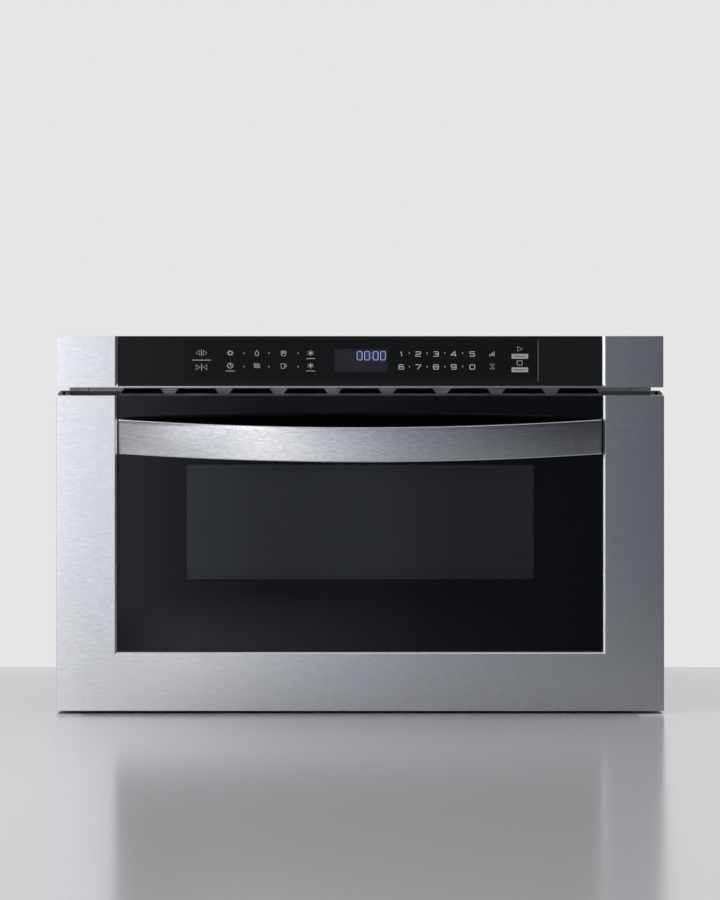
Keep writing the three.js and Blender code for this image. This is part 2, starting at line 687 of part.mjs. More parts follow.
/** C-shaped channel at the right side, its web outside or inside, with its length along Y. */
function channel(outerX, innerX, height, webOutside) {
  const depths = [caseFront, caseFront + slideLength];
  const body = block([innerX, outerX], depths, span(slideLevel, height));
  const space = webOutside ? [innerX - 1, outerX - SLIDE_SHEET] : [innerX + SLIDE_SHEET, outerX + 1];
  const gap = [depths[0] - 1, depths[1] + 1];
  return cut(body, block(space, gap, span(slideLevel, height - 2 * SLIDE_SHEET)));
}

const slideOuter = sideInner - SEAT_GAP;
const slideStep = SLIDE_SHEET + RUN_GAP;
const slideInner = slideOuter - SLIDE_WIDTH;

function outerSlide() {
  return channel(slideOuter, slideInner, SLIDE_HEIGHT, true);
}

function middleSlide() {
  return channel(slideOuter - slideStep, slideInner + RUN_GAP, SLIDE_HEIGHT - 2 * slideStep, true);
}

const innerSlideFace = slideInner - SLIDE_SHEET;

function innerSlide() {
  return channel(slideOuter - 2 * slideStep, innerSlideFace, SLIDE_HEIGHT - 4 * slideStep, false);
}

/** Angle bracket from the back of the drawer front to an inner slide member. */
function slideArm() {
  const outer = innerSlideFace - SEAT_GAP;
  const heights = span(slideLevel, ARM_HEIGHT);
  return join(
    block([outer - ARM_SHEET, outer], [panFront, panFront + ARM_LENGTH], heights),
    block([outer - ARM_FOOT, outer], [panFront, panFront + ARM_SHEET], heights));
}

/** Straight rack over the pinion, teeth down, with a foot against the drawer front. */
function driveRack() {
  const widths = span(RACK_X, RACK_WIDTH);
  const root = rackRoot;
  const tip = rackLevel - addendum;
  const rackBack = pinionY + DRAWER_TRAVEL + RACK_END;
  const halfTooth = (toothPitch * TOOTH_SHARE) / 2;
  const slope = Math.tan(PRESSURE_ANGLE);
  const firstGap = Math.floor((pinionY - panFront - ARM_SHEET) / toothPitch - 0.5);
  const lastGap = Math.floor((rackBack - pinionY) / toothPitch - 0.5);
  const profile = [[rackBack, root + RACK_BACK], [panFront, root + RACK_BACK], [panFront, root]];
  for (let gap = -firstGap; gap < lastGap; gap += 1) {
    const middle = pinionY + (gap + 0.5) * toothPitch;
    profile.push(
      [middle - halfTooth - dedendum * slope, root], [middle - halfTooth + addendum * slope, tip],
      [middle + halfTooth - addendum * slope, tip], [middle + halfTooth + dedendum * slope, root]);
  }
  profile.push([rackBack, root]);
  const foot = block(widths, [panFront, panFront + ARM_SHEET], [root, root + RACK_FOOT_HEIGHT]);
  return join(sidePlate(outline(profile), widths), foot);
}

/** Half the angle that an involute tooth fills at a radius. */
function halfToothAngle(radius) {
  const base = pinionRadius * Math.cos(PRESSURE_ANGLE);
  const involute = (r) => {
    const angle = Math.acos(Math.min(1, base / r));
    return Math.tan(angle) - angle;
  };
  return (Math.PI * TOOTH_SHARE) / PINION_TEETH + involute(pinionRadius) - involute(Math.max(radius, base));
}

/** Pinion with one tooth straight up, on the shaft of the gearbox. */
function drivePinion() {
  const radii = [pinionRadius - dedendum, pinionRadius - addendum / 2, pinionRadius, pinionRadius + addendum];
  const points = [];
  for (let tooth = 0; tooth < PINION_TEETH; tooth += 1) {
    const middle = Math.PI / 2 + (2 * Math.PI * tooth) / PINION_TEETH;
    const flank = radii.map((radius) => [radius, halfToothAngle(radius)]);
    const corners = [
      ...flank.map(([radius, half]) => [radius, middle - half]),
      ...flank.reverse().map(([radius, half]) => [radius, middle + half])];
    corners.forEach(([radius, angle]) => {
      points.push([pinionY + radius * Math.cos(angle), pinionLevel + radius * Math.sin(angle)]);
    });
  }
  const gearSpan = span(RACK_X, PINION_WIDTH);
  const shaft = bar('x', SHAFT_RADIUS, [pinionY, pinionLevel], [gearboxRight + SEAT_GAP, gearSpan[0] + 1]);
  return join(sidePlate(outline(points), gearSpan), shaft);
}

const gearboxRight = RACK_X - PINION_WIDTH / 2 - SADDLE_SHEET;

/** Gearbox with its motor, and the saddle that keeps the rack down on the pinion. */
function driveMotor() {
  const left = gearboxRight - GEARBOX_WIDTH;
  const saddle = span(pinionY, SADDLE_DEPTH);
  return join(
    block([left, gearboxRight], span(pinionY, GEARBOX_DEPTH), [baseTop, saddleTop]),
    block([gearboxRight - 1, RACK_X + RACK_WIDTH / 2], saddle, [saddleBottom, saddleTop]),
    bar('x', MOTOR_RADIUS, [pinionY, (baseTop + saddleTop) / 2], [left - MOTOR_LENGTH, left + 1], 24));
}

// ---------------------------------------------------------------- interlock

/** Finger on the back of the drawer front that reaches through the flange to a switch. */
function latchFinger() {
  const heights = span(fingerLevel, FINGER_HEIGHT);
  return join(
    block(span(fingerSide, FINGER_WIDTH), [panFront, panFront + FINGER_LENGTH], heights),
    block(span(fingerSide, FINGER_WIDTH), [panFront, panFront + SWITCH_BRACKET],
      span(fingerLevel, FINGER_FOOT)));
}

const plungerFront = panFront + FINGER_LENGTH + SEAT_GAP;
const switchFront = plungerFront + PLUNGER_SHOW;

/** Switch body on an angle that is fastened behind the flange. */
function interlockSwitch() {
  const reach = switchFront + SWITCH_DEPTH;
  const body = block(span(fingerSide, SWITCH_WIDTH), [switchFront, reach], span(fingerLevel, SWITCH_HEIGHT));
  const outer = fingerSide + SWITCH_WIDTH / 2;
  const arm = block([outer, outer + SWITCH_BRACKET], [caseFront, reach], span(fingerLevel, SWITCH_HEIGHT));
  const foot = block([outer, outer + SWITCH_WIDTH], [caseFront, caseFront + SWITCH_BRACKET],
    span(fingerLevel, SWITCH_HEIGHT));
  const bore = bar('y', PLUNGER_RADIUS + SEAT_GAP, [fingerSide, fingerLevel],
    [switchFront - 1, plungerFront + PLUNGER_LENGTH + PLUNGER_SHOW], 12);
  return cut(join(body, arm, foot), bore);
}

function plunger() {
  return bar('y', PLUNGER_RADIUS, [fingerSide, fingerLevel], [plungerFront, plungerFront + PLUNGER_LENGTH], 12);
}

// ---------------------------------------------------------------- case

const hemInner = sideInner - SEAT_GAP;

/** Floor of the case with upturned edges and two stands that carry the back of the oven. */
function basePan() {
  const depths = [caseFront, caseBack];
  const tray = cut(
    block([-hemInner, hemInner], [caseFront, rearPanelFront - SEAT_GAP], [0, CASE_HEM]),
    block([-hemInner + CASE_SHEET, hemInner - CASE_SHEET],
      [caseFront + CASE_SHEET, rearPanelFront - SEAT_GAP - CASE_SHEET], [CASE_SHEET, CASE_HEM + 1]));
  const stands = [-1, 1].map((side) => {
    const across = span((side * STAND_SPACING) / 2, STAND_WIDTH);
    const depth = [cavityInnerBack - STAND_WIDTH, cavityInnerBack];
    const post = block(across, depth, [CASE_SHEET / 2, ovenBottom - SEAT_GAP]);
    const space = block([across[0] + CASE_SHEET, across[1] - CASE_SHEET], [depth[0] - 1, depth[1] + 1],
      [CASE_SHEET, ovenBottom - SEAT_GAP - CASE_SHEET]);
    return cut(post, space);
  });
  return join(block([-caseHalf, caseHalf], depths, [0, CASE_SHEET]), tray, ...stands);
}

/** Right side panel with a folded upper edge. */
function sidePanel() {
  const depths = [caseFront, rearPanelFront - SEAT_GAP];
  return join(
    block([sideInner, caseHalf], depths, [baseTop, panelTop]),
    block([caseHalf - CASE_HEM, caseHalf], depths, [panelTop - CASE_SHEET, panelTop]));
}

function topCover() {
  return block([-caseHalf, caseHalf], [caseFront, caseBack], [coverBottom, coverBottom + CASE_SHEET]);
}

/** Rear panel with two groups of air slots and the hole for the cord gland. */
function rearPanel() {
  const panel = block([-caseHalf, caseHalf], [rearPanelFront, caseBack], [baseTop, panelTop]);
  const through = [rearPanelFront - 1, caseBack + 1];
  const slots = [];
  for (let slot = 0; slot < REAR_SLOT_COUNT; slot += 1) {
    const offset = (slot - (REAR_SLOT_COUNT - 1) / 2) * REAR_SLOT_PITCH;
    [fanX - FAN_SIZE / 4, 0].forEach((middle) => {
      slots.push(block(span(middle + offset, REAR_SLOT_WIDTH), through, span(fanLevel, REAR_SLOT_HEIGHT)));
    });
  }
  const neck = bar('y', GLAND_NECK + SEAT_GAP, [glandX, glandLevel], through, 24);
  return cut(panel, ...slots, neck);
}

/** Flange slot around what passes through it. */
function flangeSlot([x0, x1], [z0, z1]) {
  const depths = [flangeFront - 1, flangeBack + 1];
  return block([x0 - SLOT_MARGIN, x1 + SLOT_MARGIN], depths, [z0 - SLOT_MARGIN, z1 + SLOT_MARGIN]);
}

const grilleBottom = doorTop + GRILLE_CLEARANCE;
const grilleTop = controlBottom - SEAT_GAP;
const slotBottom = (grilleBottom + grilleTop - GRILLE_SLOT_HEIGHT) / 2;
const slotsHalf = ((GRILLE_SLOTS - 1) * GRILLE_PITCH + GRILLE_SLOT_WIDTH) / 2;

/** Face plate that screws to the cabinet: the oven's mouth, the slots and the tabs beside the grille. */
function mountingFlange() {
  const plate = block([-flangeHalf, flangeHalf], [flangeFront, flangeBack], [FLANGE_FOOT, flangeTop]);
  const pads = [-1, 1].map((side) => {
    const across = [side * (caseHalf + FLANGE_PAD), side * flangeHalf].sort((a, b) => a - b);
    return block(across, [flangeFront, flangeBack + FLANGE_PAD], [FLANGE_FOOT, flangeTop]);
  });
  const tools = [
    block([-mouthHalf, mouthHalf], [flangeFront - 1, flangeBack + 1], [cavityFloor, cavityCeiling]),
    flangeSlot(span(RACK_X, PINION_WIDTH), [rackLevel - addendum, rackRoot + RACK_FOOT_HEIGHT]),
    block([-slotsHalf, slotsHalf], [flangeFront - 1, flangeBack + 1],
      [slotBottom, slotBottom + GRILLE_SLOT_HEIGHT])];
  [-1, 1].forEach((side) => {
    const across = (x0, x1) => [side * x0, side * x1].sort((a, b) => a - b);
    tools.push(
      flangeSlot(across(innerSlideFace - ARM_FOOT, slideOuter - SLOT_MARGIN), span(slideLevel, SLIDE_HEIGHT)),
      flangeSlot(span(side * fingerSide, FINGER_WIDTH), span(fingerLevel, FINGER_FOOT)));
    [FLANGE_FOOT + FLANGE_HOLE_LOW, flangeTop - FLANGE_HOLE_HIGH].forEach((level) => {
      const middle = side * (caseHalf + flangeHalf) / 2;
      tools.push(bar('y', FLANGE_HOLE / 2, [middle, level], [flangeFront - 1, flangeBack + 1], 12));
    });
  });
  const tabs = [-1, 1].map((side) => {
    const across = [side * (grilleHalf + GRILLE_SEAM), side * flangeHalf].sort((a, b) => a - b);
    return block(across, [flangeFront - GRILLE_DEPTH, flangeBack], [grilleTop - TAB_HEIGHT, grilleTop]);
  });
  return join(cut(join(plate, ...pads), ...tools), ...tabs);
}

/** Bar with a row of air slots, each wider at its foot. */
function ventGrille() {
  const bottom = slotBottom;
  const top = slotBottom + GRILLE_SLOT_HEIGHT;
  const depths = [flangeFront - GRILLE_DEPTH, flangeFront - SEAT_GAP];
  const slots = [];
  for (let slot = 0; slot < GRILLE_SLOTS; slot += 1) {
    const [x0, x1] = span((slot - (GRILLE_SLOTS - 1) / 2) * GRILLE_PITCH, GRILLE_SLOT_WIDTH);
    const shape = outline([
      [x0, bottom], [x1, bottom], [x1, top - GRILLE_SLOT_TAPER], [x1 - GRILLE_SLOT_TAPER, top],
      [x0 + GRILLE_SLOT_TAPER, top], [x0, top - GRILLE_SLOT_TAPER]]);
    slots.push(frontPlate(shape, [depths[0] - 1, depths[1] + 1]));
  }
  return cut(block([-grilleHalf, grilleHalf], depths, [grilleBottom, grilleTop]), ...slots);
}

// ---------------------------------------------------------------- control row

const controlBack = flangeFront - SEAT_GAP;
const controlGlassBottom = controlBottom + CONTROL_RAIL + SEAT_GAP;

/** Stainless strip at each side of the control glass, joined by a thin rail under it. */
function controlFrame() {
  const strips = [-1, 1].map((side) => {
    const across = (x0, x1) => [side * x0, side * x1].sort((a, b) => a - b);
    const body = block(across(openHalf, controlHalf), [frameFront, controlBack], [controlBottom, controlTop]);
    const hollow = block(across(openHalf + FRAME_SHEET, controlHalf - FRAME_SHEET),
      [glassFront + FRAME_SHEET, controlBack + 1], [controlBottom + FRAME_SHEET, controlTop - FRAME_SHEET]);
    return cut(body, hollow);
  });
  const rail = block([-openHalf - 1, openHalf + 1], [frameFront, controlBack],
    [controlBottom, controlBottom + CONTROL_RAIL]);
  const slope = slopedOpening([-openHalf, openHalf],
    [controlGlassBottom + FRAME_CHAMFER, controlTop + 1]);
  return cut(join(...strips, rail), slope);
}

function controlGlass() {
  return block([-glassHalf, glassHalf], [glassFront, glassBack], [controlGlassBottom, controlTop]);
}

const housingFront = glassBack + SEAT_GAP;
const housingFloor = controlGlassBottom + HOUSING_SHEET;
const boardBack = housingFront + DISPLAY_DEPTH + SEAT_GAP + BOARD_THICKNESS;
const boardLevel = (controlGlassBottom + controlTop) / 2;

/** Sheet tray behind the control glass, with bosses that carry the board. */
function controlHousing() {
  const tray = cut(
    block([-glassHalf, glassHalf], [housingFront, controlBack], [controlGlassBottom, controlTop]),
    block([-glassHalf + HOUSING_SHEET, glassHalf - HOUSING_SHEET], [housingFront - 1, controlBack - HOUSING_SHEET],
      [housingFloor, controlTop - HOUSING_SHEET]));
  const bosses = [];
  [-1, 1].forEach((side) => {
    [-1, 1].forEach((up) => {
      const x = (side * (BOARD_WIDTH - 2 * BOSS_SIZE)) / 2;
      const z = boardLevel + (up * (BOARD_HEIGHT - 2 * BOSS_SIZE)) / 2;
      const depths = [boardBack + SEAT_GAP, controlBack - HOUSING_SHEET / 2];
      bosses.push(block(span(x, BOSS_SIZE), depths, span(z, BOSS_SIZE)));
    });
  });
  return join(tray, ...bosses);
}

const displayBottom = controlGlassBottom + DISPLAY_SILL;

/** Touch sheet behind the glass, cut out for the display. */
function touchMembrane() {
  const bottom = controlGlassBottom + MEMBRANE_SILL;
  const depths = [housingFront, housingFront + MEMBRANE_THICKNESS];
  const sheet = block(span(0, MEMBRANE_WIDTH), depths, [bottom, bottom + MEMBRANE_HEIGHT]);
  const margin = 2 * SEAT_GAP;
  const display = block(span(0, DISPLAY_WIDTH + margin), [depths[0] - 1, depths[1] + 1],
    [displayBottom - SEAT_GAP, displayBottom + DISPLAY_HEIGHT + SEAT_GAP]);
  return cut(sheet, display);
}

function displayModule() {
  return block(span(0, DISPLAY_WIDTH), [housingFront, housingFront + DISPLAY_DEPTH],
    [displayBottom, displayBottom + DISPLAY_HEIGHT]);
}

function controlBoard() {
  return block(span(0, BOARD_WIDTH), [boardBack - BOARD_THICKNESS, boardBack], span(boardLevel, BOARD_HEIGHT));
}

// ---------------------------------------------------------------- oven, stirrer and generator

const wellTop = deck + WELL_HEIGHT;
const wellHalf = WELL_SIZE / 2;

/** Oven cavity: a sheet box, open at the front, with openings for stirrer and lamp. */
function ovenCavity() {
  const holeHalf = wellHalf - WELL_LIP;
  return cut(
    block([-ovenHalf, ovenHalf], [caseFront, cavityBack], [ovenBottom, cavityTop]),
    block([-mouthHalf, mouthHalf], [caseFront - 1, cavityInnerBack], [cavityFloor, cavityCeiling]),
    block([-holeHalf, holeHalf], [wellY - holeHalf, wellY + holeHalf], [cavityCeiling - 1, cavityTop + 1]),
    block([-ovenHalf - 1, -mouthHalf + 1], span(lampY, LAMP_WINDOW), span(lampLevel, LAMP_WINDOW)));
}

/** Box over the hole in the ceiling in which the stirrer turns, open below and to the waveguide. */
function stirrerWell() {
  const inner = wellHalf - WELL_SHEET;
  const port = (WAVEGUIDE_WIDTH - 2 * WAVEGUIDE_SHEET) / 2;
  return cut(
    block([-wellHalf, wellHalf], [wellY - wellHalf, wellY + wellHalf], [deck, wellTop]),
    block([-inner, inner], [wellY - inner, wellY + inner], [deck - 1, wellTop - WELL_SHEET]),
    block([0, wellHalf + 1], [wellY - port, wellY + port], [deck - 1, wellTop - WELL_SHEET]),
    bar('z', STIRRER_SHAFT + RUN_GAP, [0, wellY], [wellTop - WELL_SHEET - 1, wellTop + 1], 12));
}

function stirrerCover() {
  const half = wellHalf;
  const top = cavityCeiling - SEAT_GAP;
  return block([-half, half], [wellY - half, wellY + half], [top - COVER_THICKNESS, top]);
}

const stirrerLevel = deck + STIRRER_RISE;

/** Flat blades on a hub, hanging from the motor's shaft. */
function stirrer() {
  const blades = [];
  for (let blade = 0; blade < STIRRER_BLADES; blade += 1) {
    const arm = block([0, STIRRER_RADIUS], span(0, STIRRER_BLADE_WIDTH), span(0, STIRRER_BLADE_SHEET));
    arm.rotateX(STIRRER_TWIST);
    arm.rotateZ((2 * Math.PI * blade) / STIRRER_BLADES);
    blades.push(arm.translate(0, wellY, stirrerLevel));
  }
  const hub = bar('z', STIRRER_HUB, [0, wellY], span(stirrerLevel, STIRRER_HUB_HEIGHT), 16);
  const shaft = bar('z', STIRRER_SHAFT, [0, wellY], [stirrerLevel, wellTop + SEAT_GAP], 12);
  return join(hub, shaft, ...blades);
}

/** Flat synchronous motor on the well, over the end of the shaft, with two fixing ears. */
function stirrerMotor() {
  const bottom = wellTop + 2 * SEAT_GAP;
  const can = bar('z', STIRRER_MOTOR_RADIUS, [0, wellY], [bottom, bottom + STIRRER_MOTOR_HEIGHT], 24);
  const ears = block(span(0, STIRRER_EARS), span(wellY, STIRRER_EAR_WIDTH), [bottom, bottom + WELL_SHEET]);
  return join(can, ears);
}

const guideLeft = wellHalf + SEAT_GAP;
const magnetronLeft = sideInner - MAGNETRON_SIDE_GAP - MAGNETRON_SIZE;
const guideRight = magnetronLeft - SEAT_GAP;

/** Rectangular duct from the magnetron to the stirrer well. */
function waveguide() {
  const half = WAVEGUIDE_WIDTH / 2;
  const inner = half - WAVEGUIDE_SHEET;
  const top = deck + WAVEGUIDE_HEIGHT;
  const body = block([guideLeft, guideRight], [wellY - half, wellY + half], [deck, top]);
  const inside = block([guideLeft + WAVEGUIDE_SHEET, guideRight - WAVEGUIDE_SHEET], [wellY - inner, wellY + inner],
    [deck + WAVEGUIDE_SHEET, top - WAVEGUIDE_SHEET]);
  const port = block([guideLeft - 1, guideLeft + 2 * WAVEGUIDE_SHEET], [wellY - inner, wellY + inner],
    [deck + WAVEGUIDE_SHEET, wellTop - WELL_SHEET]);
  const antenna = bar('x', ANTENNA_RADIUS + RUN_GAP, [wellY, deck + WAVEGUIDE_HEIGHT / 2],
    [guideRight - 2 * WAVEGUIDE_SHEET, guideRight + 1], 16);
  return cut(body, inside, port, antenna);
}

/** Magnetron lying on its side: a core with cooling fins between two yoke plates, antenna in the waveguide. */
function magnetron() {
  const left = magnetronLeft;
  const level = deck + WAVEGUIDE_HEIGHT / 2;
  const bottom = deck;
  const widths = [bottom, bottom + MAGNETRON_SIZE];
  const depths = span(wellY, MAGNETRON_SIZE);
  const coreLevel = bottom + MAGNETRON_SIZE / 2;
  const length = MAGNETRON_SIZE;
  const pieces = [
    bar('x', ANTENNA_RADIUS, [wellY, level], [left - ANTENNA_LENGTH, left + 1], 16),
    bar('x', MAGNETRON_CORE, [wellY, coreLevel], [left, left + length - 1]),
    block([left, left + MAGNETRON_YOKE], depths, widths),
    block([left + length - MAGNETRON_YOKE, left + length], depths, widths),
    block([left, left + length], depths, [widths[0], widths[0] + MAGNETRON_YOKE]),
    block([left, left + length], depths, [widths[1] - MAGNETRON_YOKE, widths[1]])];
  for (let fin = 1; fin <= MAGNETRON_FINS; fin += 1) {
    const x = left + (length * fin) / (MAGNETRON_FINS + 1);
    pieces.push(block(span(x, FIN_THICKNESS), span(wellY, MAGNETRON_SIZE - 2 * FIN_INSET),
      [widths[0], widths[1] - 1]));
  }
  return join(...pieces);
}

const transformerX = TRANSFORMER_SIDE_GAP + TRANSFORMER_WIDTH / 2 - sideInner;

/** Transformer: a steel core around two coils. */
function hvTransformer() {
  const depths = span(wellY, TRANSFORMER_DEPTH);
  const coil = [depths[0] - COIL_OVERHANG, depths[1] + COIL_OVERHANG];
  const top = deck + TRANSFORMER_HEIGHT;
  return join(
    block(span(transformerX, TRANSFORMER_WIDTH), depths, [deck, top]),
    block(span(transformerX, COIL_WIDTH), coil, [deck + COIL_INSET, deck + COIL_INSET + COIL_HEIGHT]),
    block(span(transformerX, COIL_WIDTH), coil, [top - COIL_INSET - COIL_HEIGHT, top - COIL_INSET]));
}

/** Capacitor can behind the transformer, with round narrow sides and two terminals. */
function hvCapacitor() {
  const middle = wellY + (TRANSFORMER_DEPTH + CAPACITOR_DEPTH) / 2 + COIL_OVERHANG + CAPACITOR_GAP;
  const radius = CAPACITOR_DEPTH / 2;
  const straight = CAPACITOR_WIDTH - CAPACITOR_DEPTH;
  const top = deck + CAPACITOR_HEIGHT;
  const pieces = [block(span(transformerX, straight), span(middle, CAPACITOR_DEPTH), [deck, top])];
  [-1, 1].forEach((side) => {
    const x = transformerX + (side * straight) / 2;
    pieces.push(bar('z', radius, [x, middle], [deck, top], 20));
    pieces.push(block(span(x, CAPACITOR_TAG_WIDTH), span(middle, CAPACITOR_TAG_SHEET),
      [top - 1, top + CAPACITOR_TAG]));
  });
  return join(...pieces);
}

// ---------------------------------------------------------------- cooling fan

const fanX = sideInner - FAN_SIDE_GAP - FAN_SIZE / 2;
const fanFront = cavityBack + SEAT_GAP;
const fanLevel = deck + FAN_SIZE / 2;
const fanRingRadius = FAN_SIZE / 2 - FAN_WALL;

/** Square fan frame with a round throat and a motor seat held by four struts at the back. */
function fanFrame() {
  const back = fanFront + FAN_DEPTH;
  const frame = cut(
    block(span(fanX, FAN_SIZE), [fanFront, back], span(fanLevel, FAN_SIZE)),
    bar('y', fanRingRadius, [fanX, fanLevel], [fanFront - 1, back + 1], 32));
  const strutDepth = [back - FAN_STRUT, back];
  const reach = 2 * fanRingRadius + FAN_WALL;
  return join(
    frame,
    block(span(fanX, reach), strutDepth, span(fanLevel, FAN_STRUT)),
    block(span(fanX, FAN_STRUT), strutDepth, span(fanLevel, reach)),
    bar('y', FAN_HUB, [fanX, fanLevel], strutDepth, 20));
}

/** Rotor with slanted blades around its hub. */
function fanRotor() {
  const front = fanFront + FAN_MOUTH;
  const back = fanFront + FAN_DEPTH - FAN_STRUT - RUN_GAP;
  const tip = fanRingRadius - FAN_TIP_GAP;
  const pieces = [bar('y', FAN_HUB, [0, 0], [front, back], 20)];
  const middle = (front + back) / 2;
  for (let blade = 0; blade < FAN_BLADES; blade += 1) {
    const vane = block(span(0, FAN_VANE_SHEET), span(0, FAN_VANE_WIDTH),
      [FAN_HUB - FAN_VANE_SHEET, tip - FAN_TIP_GAP]);
    vane.rotateZ(FAN_VANE_SLANT);
    vane.translate(0, middle, 0);
    vane.rotateY((2 * Math.PI * blade) / FAN_BLADES);
    pieces.push(vane);
  }
  return join(...pieces).translate(fanX, 0, fanLevel);
}

/** Air duct from the fan forward to the magnetron. */
function airDuct() {
  const half = FAN_SIZE / 2;
  const depths = [fanFront - SEAT_GAP - DUCT_LENGTH, fanFront - SEAT_GAP];
  const heights = [deck, deck + FAN_SIZE];
  return cut(
    block([fanX - half, fanX + half], depths, heights),
    block([fanX - half + DUCT_SHEET, fanX + half - DUCT_SHEET], [depths[0] - 1, depths[1] + 1],
      [heights[0] + DUCT_SHEET, heights[1] - DUCT_SHEET]));
}

// ---------------------------------------------------------------- lamp and mains inlet

/** Lamp holder on the oven's left wall with its bulb at the window. */
function cavityLamp() {
  const wall = -mouthHalf - CAVITY_SHEET - SEAT_GAP;
  const body = block([wall - LAMP_DEPTH, wall], span(lampY, LAMP_BODY), span(lampLevel, LAMP_BODY));
  const space = block([wall - LAMP_DEPTH + LAMP_SHEET, wall + 1], span(lampY, LAMP_WINDOW),
    span(lampLevel, LAMP_WINDOW));
  const bulb = new THREE.SphereGeometry(LAMP_BULB, 12, 8).rotateZ(Math.PI / 2);
  bulb.translate(wall - LAMP_DEPTH + LAMP_BULB, lampY, lampLevel);
  return join(cut(body, space), bulb);
}

const glandX = GLAND_INSET - sideInner;

/** Terminal block on the inside of the rear panel, beside the gland. */
function terminalBlock() {
  const back = rearPanelFront - SEAT_GAP;
  const top = glandLevel - GLAND_RADIUS - SEAT_GAP;
  const body = block(span(glandX, TERMINAL_WIDTH), [back - TERMINAL_DEPTH, back], [top - TERMINAL_HEIGHT, top]);
  const screws = [-1, 0, 1].map((side) =>
    bar('y', TERMINAL_SCREW, [glandX + side * TERMINAL_PITCH, top - TERMINAL_HEIGHT / 2],
      [back - TERMINAL_DEPTH - 1, back - TERMINAL_DEPTH + TERMINAL_BORE], 10));
  return cut(body, ...screws);
}

/** Gland where a mains cord would enter: a collar outside, a neck through the panel and a nut inside. */
function cordGland() {
  const outside = [caseBack + SEAT_GAP, caseBack + GLAND_PROUD];
  const nut = [rearPanelFront - SEAT_GAP - GLAND_PROUD, rearPanelFront - SEAT_GAP];
  const middle = [glandX, glandLevel];
  return cut(
    join(
      bar('y', GLAND_RADIUS, middle, outside, 24),
      bar('y', GLAND_NECK, middle, [nut[0], outside[1] - 1], 24),
      bar('y', GLAND_RADIUS, middle, nut, 6)),
    bar('y', GLAND_BORE, middle, [nut[0] - 1, outside[1] + 1], 20));
}

// ---------------------------------------------------------------- assembly

/** A right-hand piece and its mirror image, as two named pieces. */
function placePair(group, name, geometry, material) {
  place(group, `${name}_left`, mirrored(geometry), material);
  place(group, `${name}_right`, geometry, material);
}

place(drawer, 'door_frame', doorFrame(), stainless);
placePair(drawer, 'frame_cap', frameCap(), greySteel);
place(drawer, 'door_glass', doorGlass(), blackGlass);
place(drawer, 'pocket_liner', pocketLiner(), blackPlastic);
place(drawer, 'handle', handle(), stainless);
place(drawer, 'window_screen', windowScreen(), screenMetal);
place(drawer, 'door_core', doorCore(), blackPlastic);
place(drawer, 'choke_panel', chokePanel(), ovenEnamel);
place(drawer, 'choke_cover', chokeCover(), blackPlastic);
place(drawer, 'drawer_pan', drawerPan(), ovenEnamel);
place(drawer, 'ceramic_plate', ceramicPlate(), ceramic);
placePair(drawer, 'inner_slide', innerSlide(), zincSteel);
placePair(drawer, 'slide_arm', slideArm(), zincSteel);
place(drawer, 'drive_rack', driveRack(), acetal);
placePair(drawer, 'latch_finger', latchFinger(), acetal);

placePair(microwave, 'middle_slide', middleSlide(), zincSteel);
placePair(microwave, 'outer_slide', outerSlide(), zincSteel);
place(microwave, 'drive_pinion', drivePinion(), acetal);
place(microwave, 'drive_motor', driveMotor(), motorSteel);
placePair(microwave, 'interlock_switch', interlockSwitch(), blackPlastic);
placePair(microwave, 'switch_plunger', plunger(), acetal);

place(microwave, 'base_pan', basePan(), galvanised);
placePair(microwave, 'side_panel', sidePanel(), galvanised);
place(microwave, 'top_cover', topCover(), galvanised);
place(microwave, 'rear_panel', rearPanel(), galvanised);
place(microwave, 'mounting_flange', mountingFlange(), greySteel);
place(microwave, 'vent_grille', ventGrille(), greySteel);

place(microwave, 'control_frame', controlFrame(), stainless);
place(microwave, 'control_glass', controlGlass(), blackGlass);
place(microwave, 'control_housing', controlHousing(), galvanised);
place(microwave, 'touch_membrane', touchMembrane(), blackPlastic);
place(microwave, 'display_module', displayModule(), blackPlastic);
place(microwave, 'control_board', controlBoard(), boardGreen);

place(microwave, 'oven_cavity', ovenCavity(), ovenEnamel);
place(microwave, 'stirrer_well', stirrerWell(), galvanised);
place(microwave, 'stirrer_cover', stirrerCover(), mica);
place(microwave, 'stirrer', stirrer(), galvanised);
place(microwave, 'stirrer_motor', stirrerMotor(), motorSteel);
place(microwave, 'waveguide', waveguide(), galvanised);
place(microwave, 'magnetron', magnetron(), motorSteel);
place(microwave, 'hv_transformer', hvTransformer(), copperWire);
place(microwave, 'hv_capacitor', hvCapacitor(), motorSteel);
place(microwave, 'fan_frame', fanFrame(), blackPlastic);
place(microwave, 'fan_rotor', fanRotor(), blackPlastic);
place(microwave, 'air_duct', airDuct(), galvanised);
place(microwave, 'cavity_lamp', cavityLamp(), bulbGlass);
place(microwave, 'terminal_block', terminalBlock(), blackPlastic);
place(microwave, 'cord_gland', cordGland(), blackPlastic);

export default microwave;
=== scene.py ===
"""Looks of a built-in microwave drawer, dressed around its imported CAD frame.

Metres, +Z up, front towards -Y. Sections: places, node helpers, mesh helpers, materials,
camera and studio, finishes, control panel, drawer front, drawer box, case.
"""

import json
import math

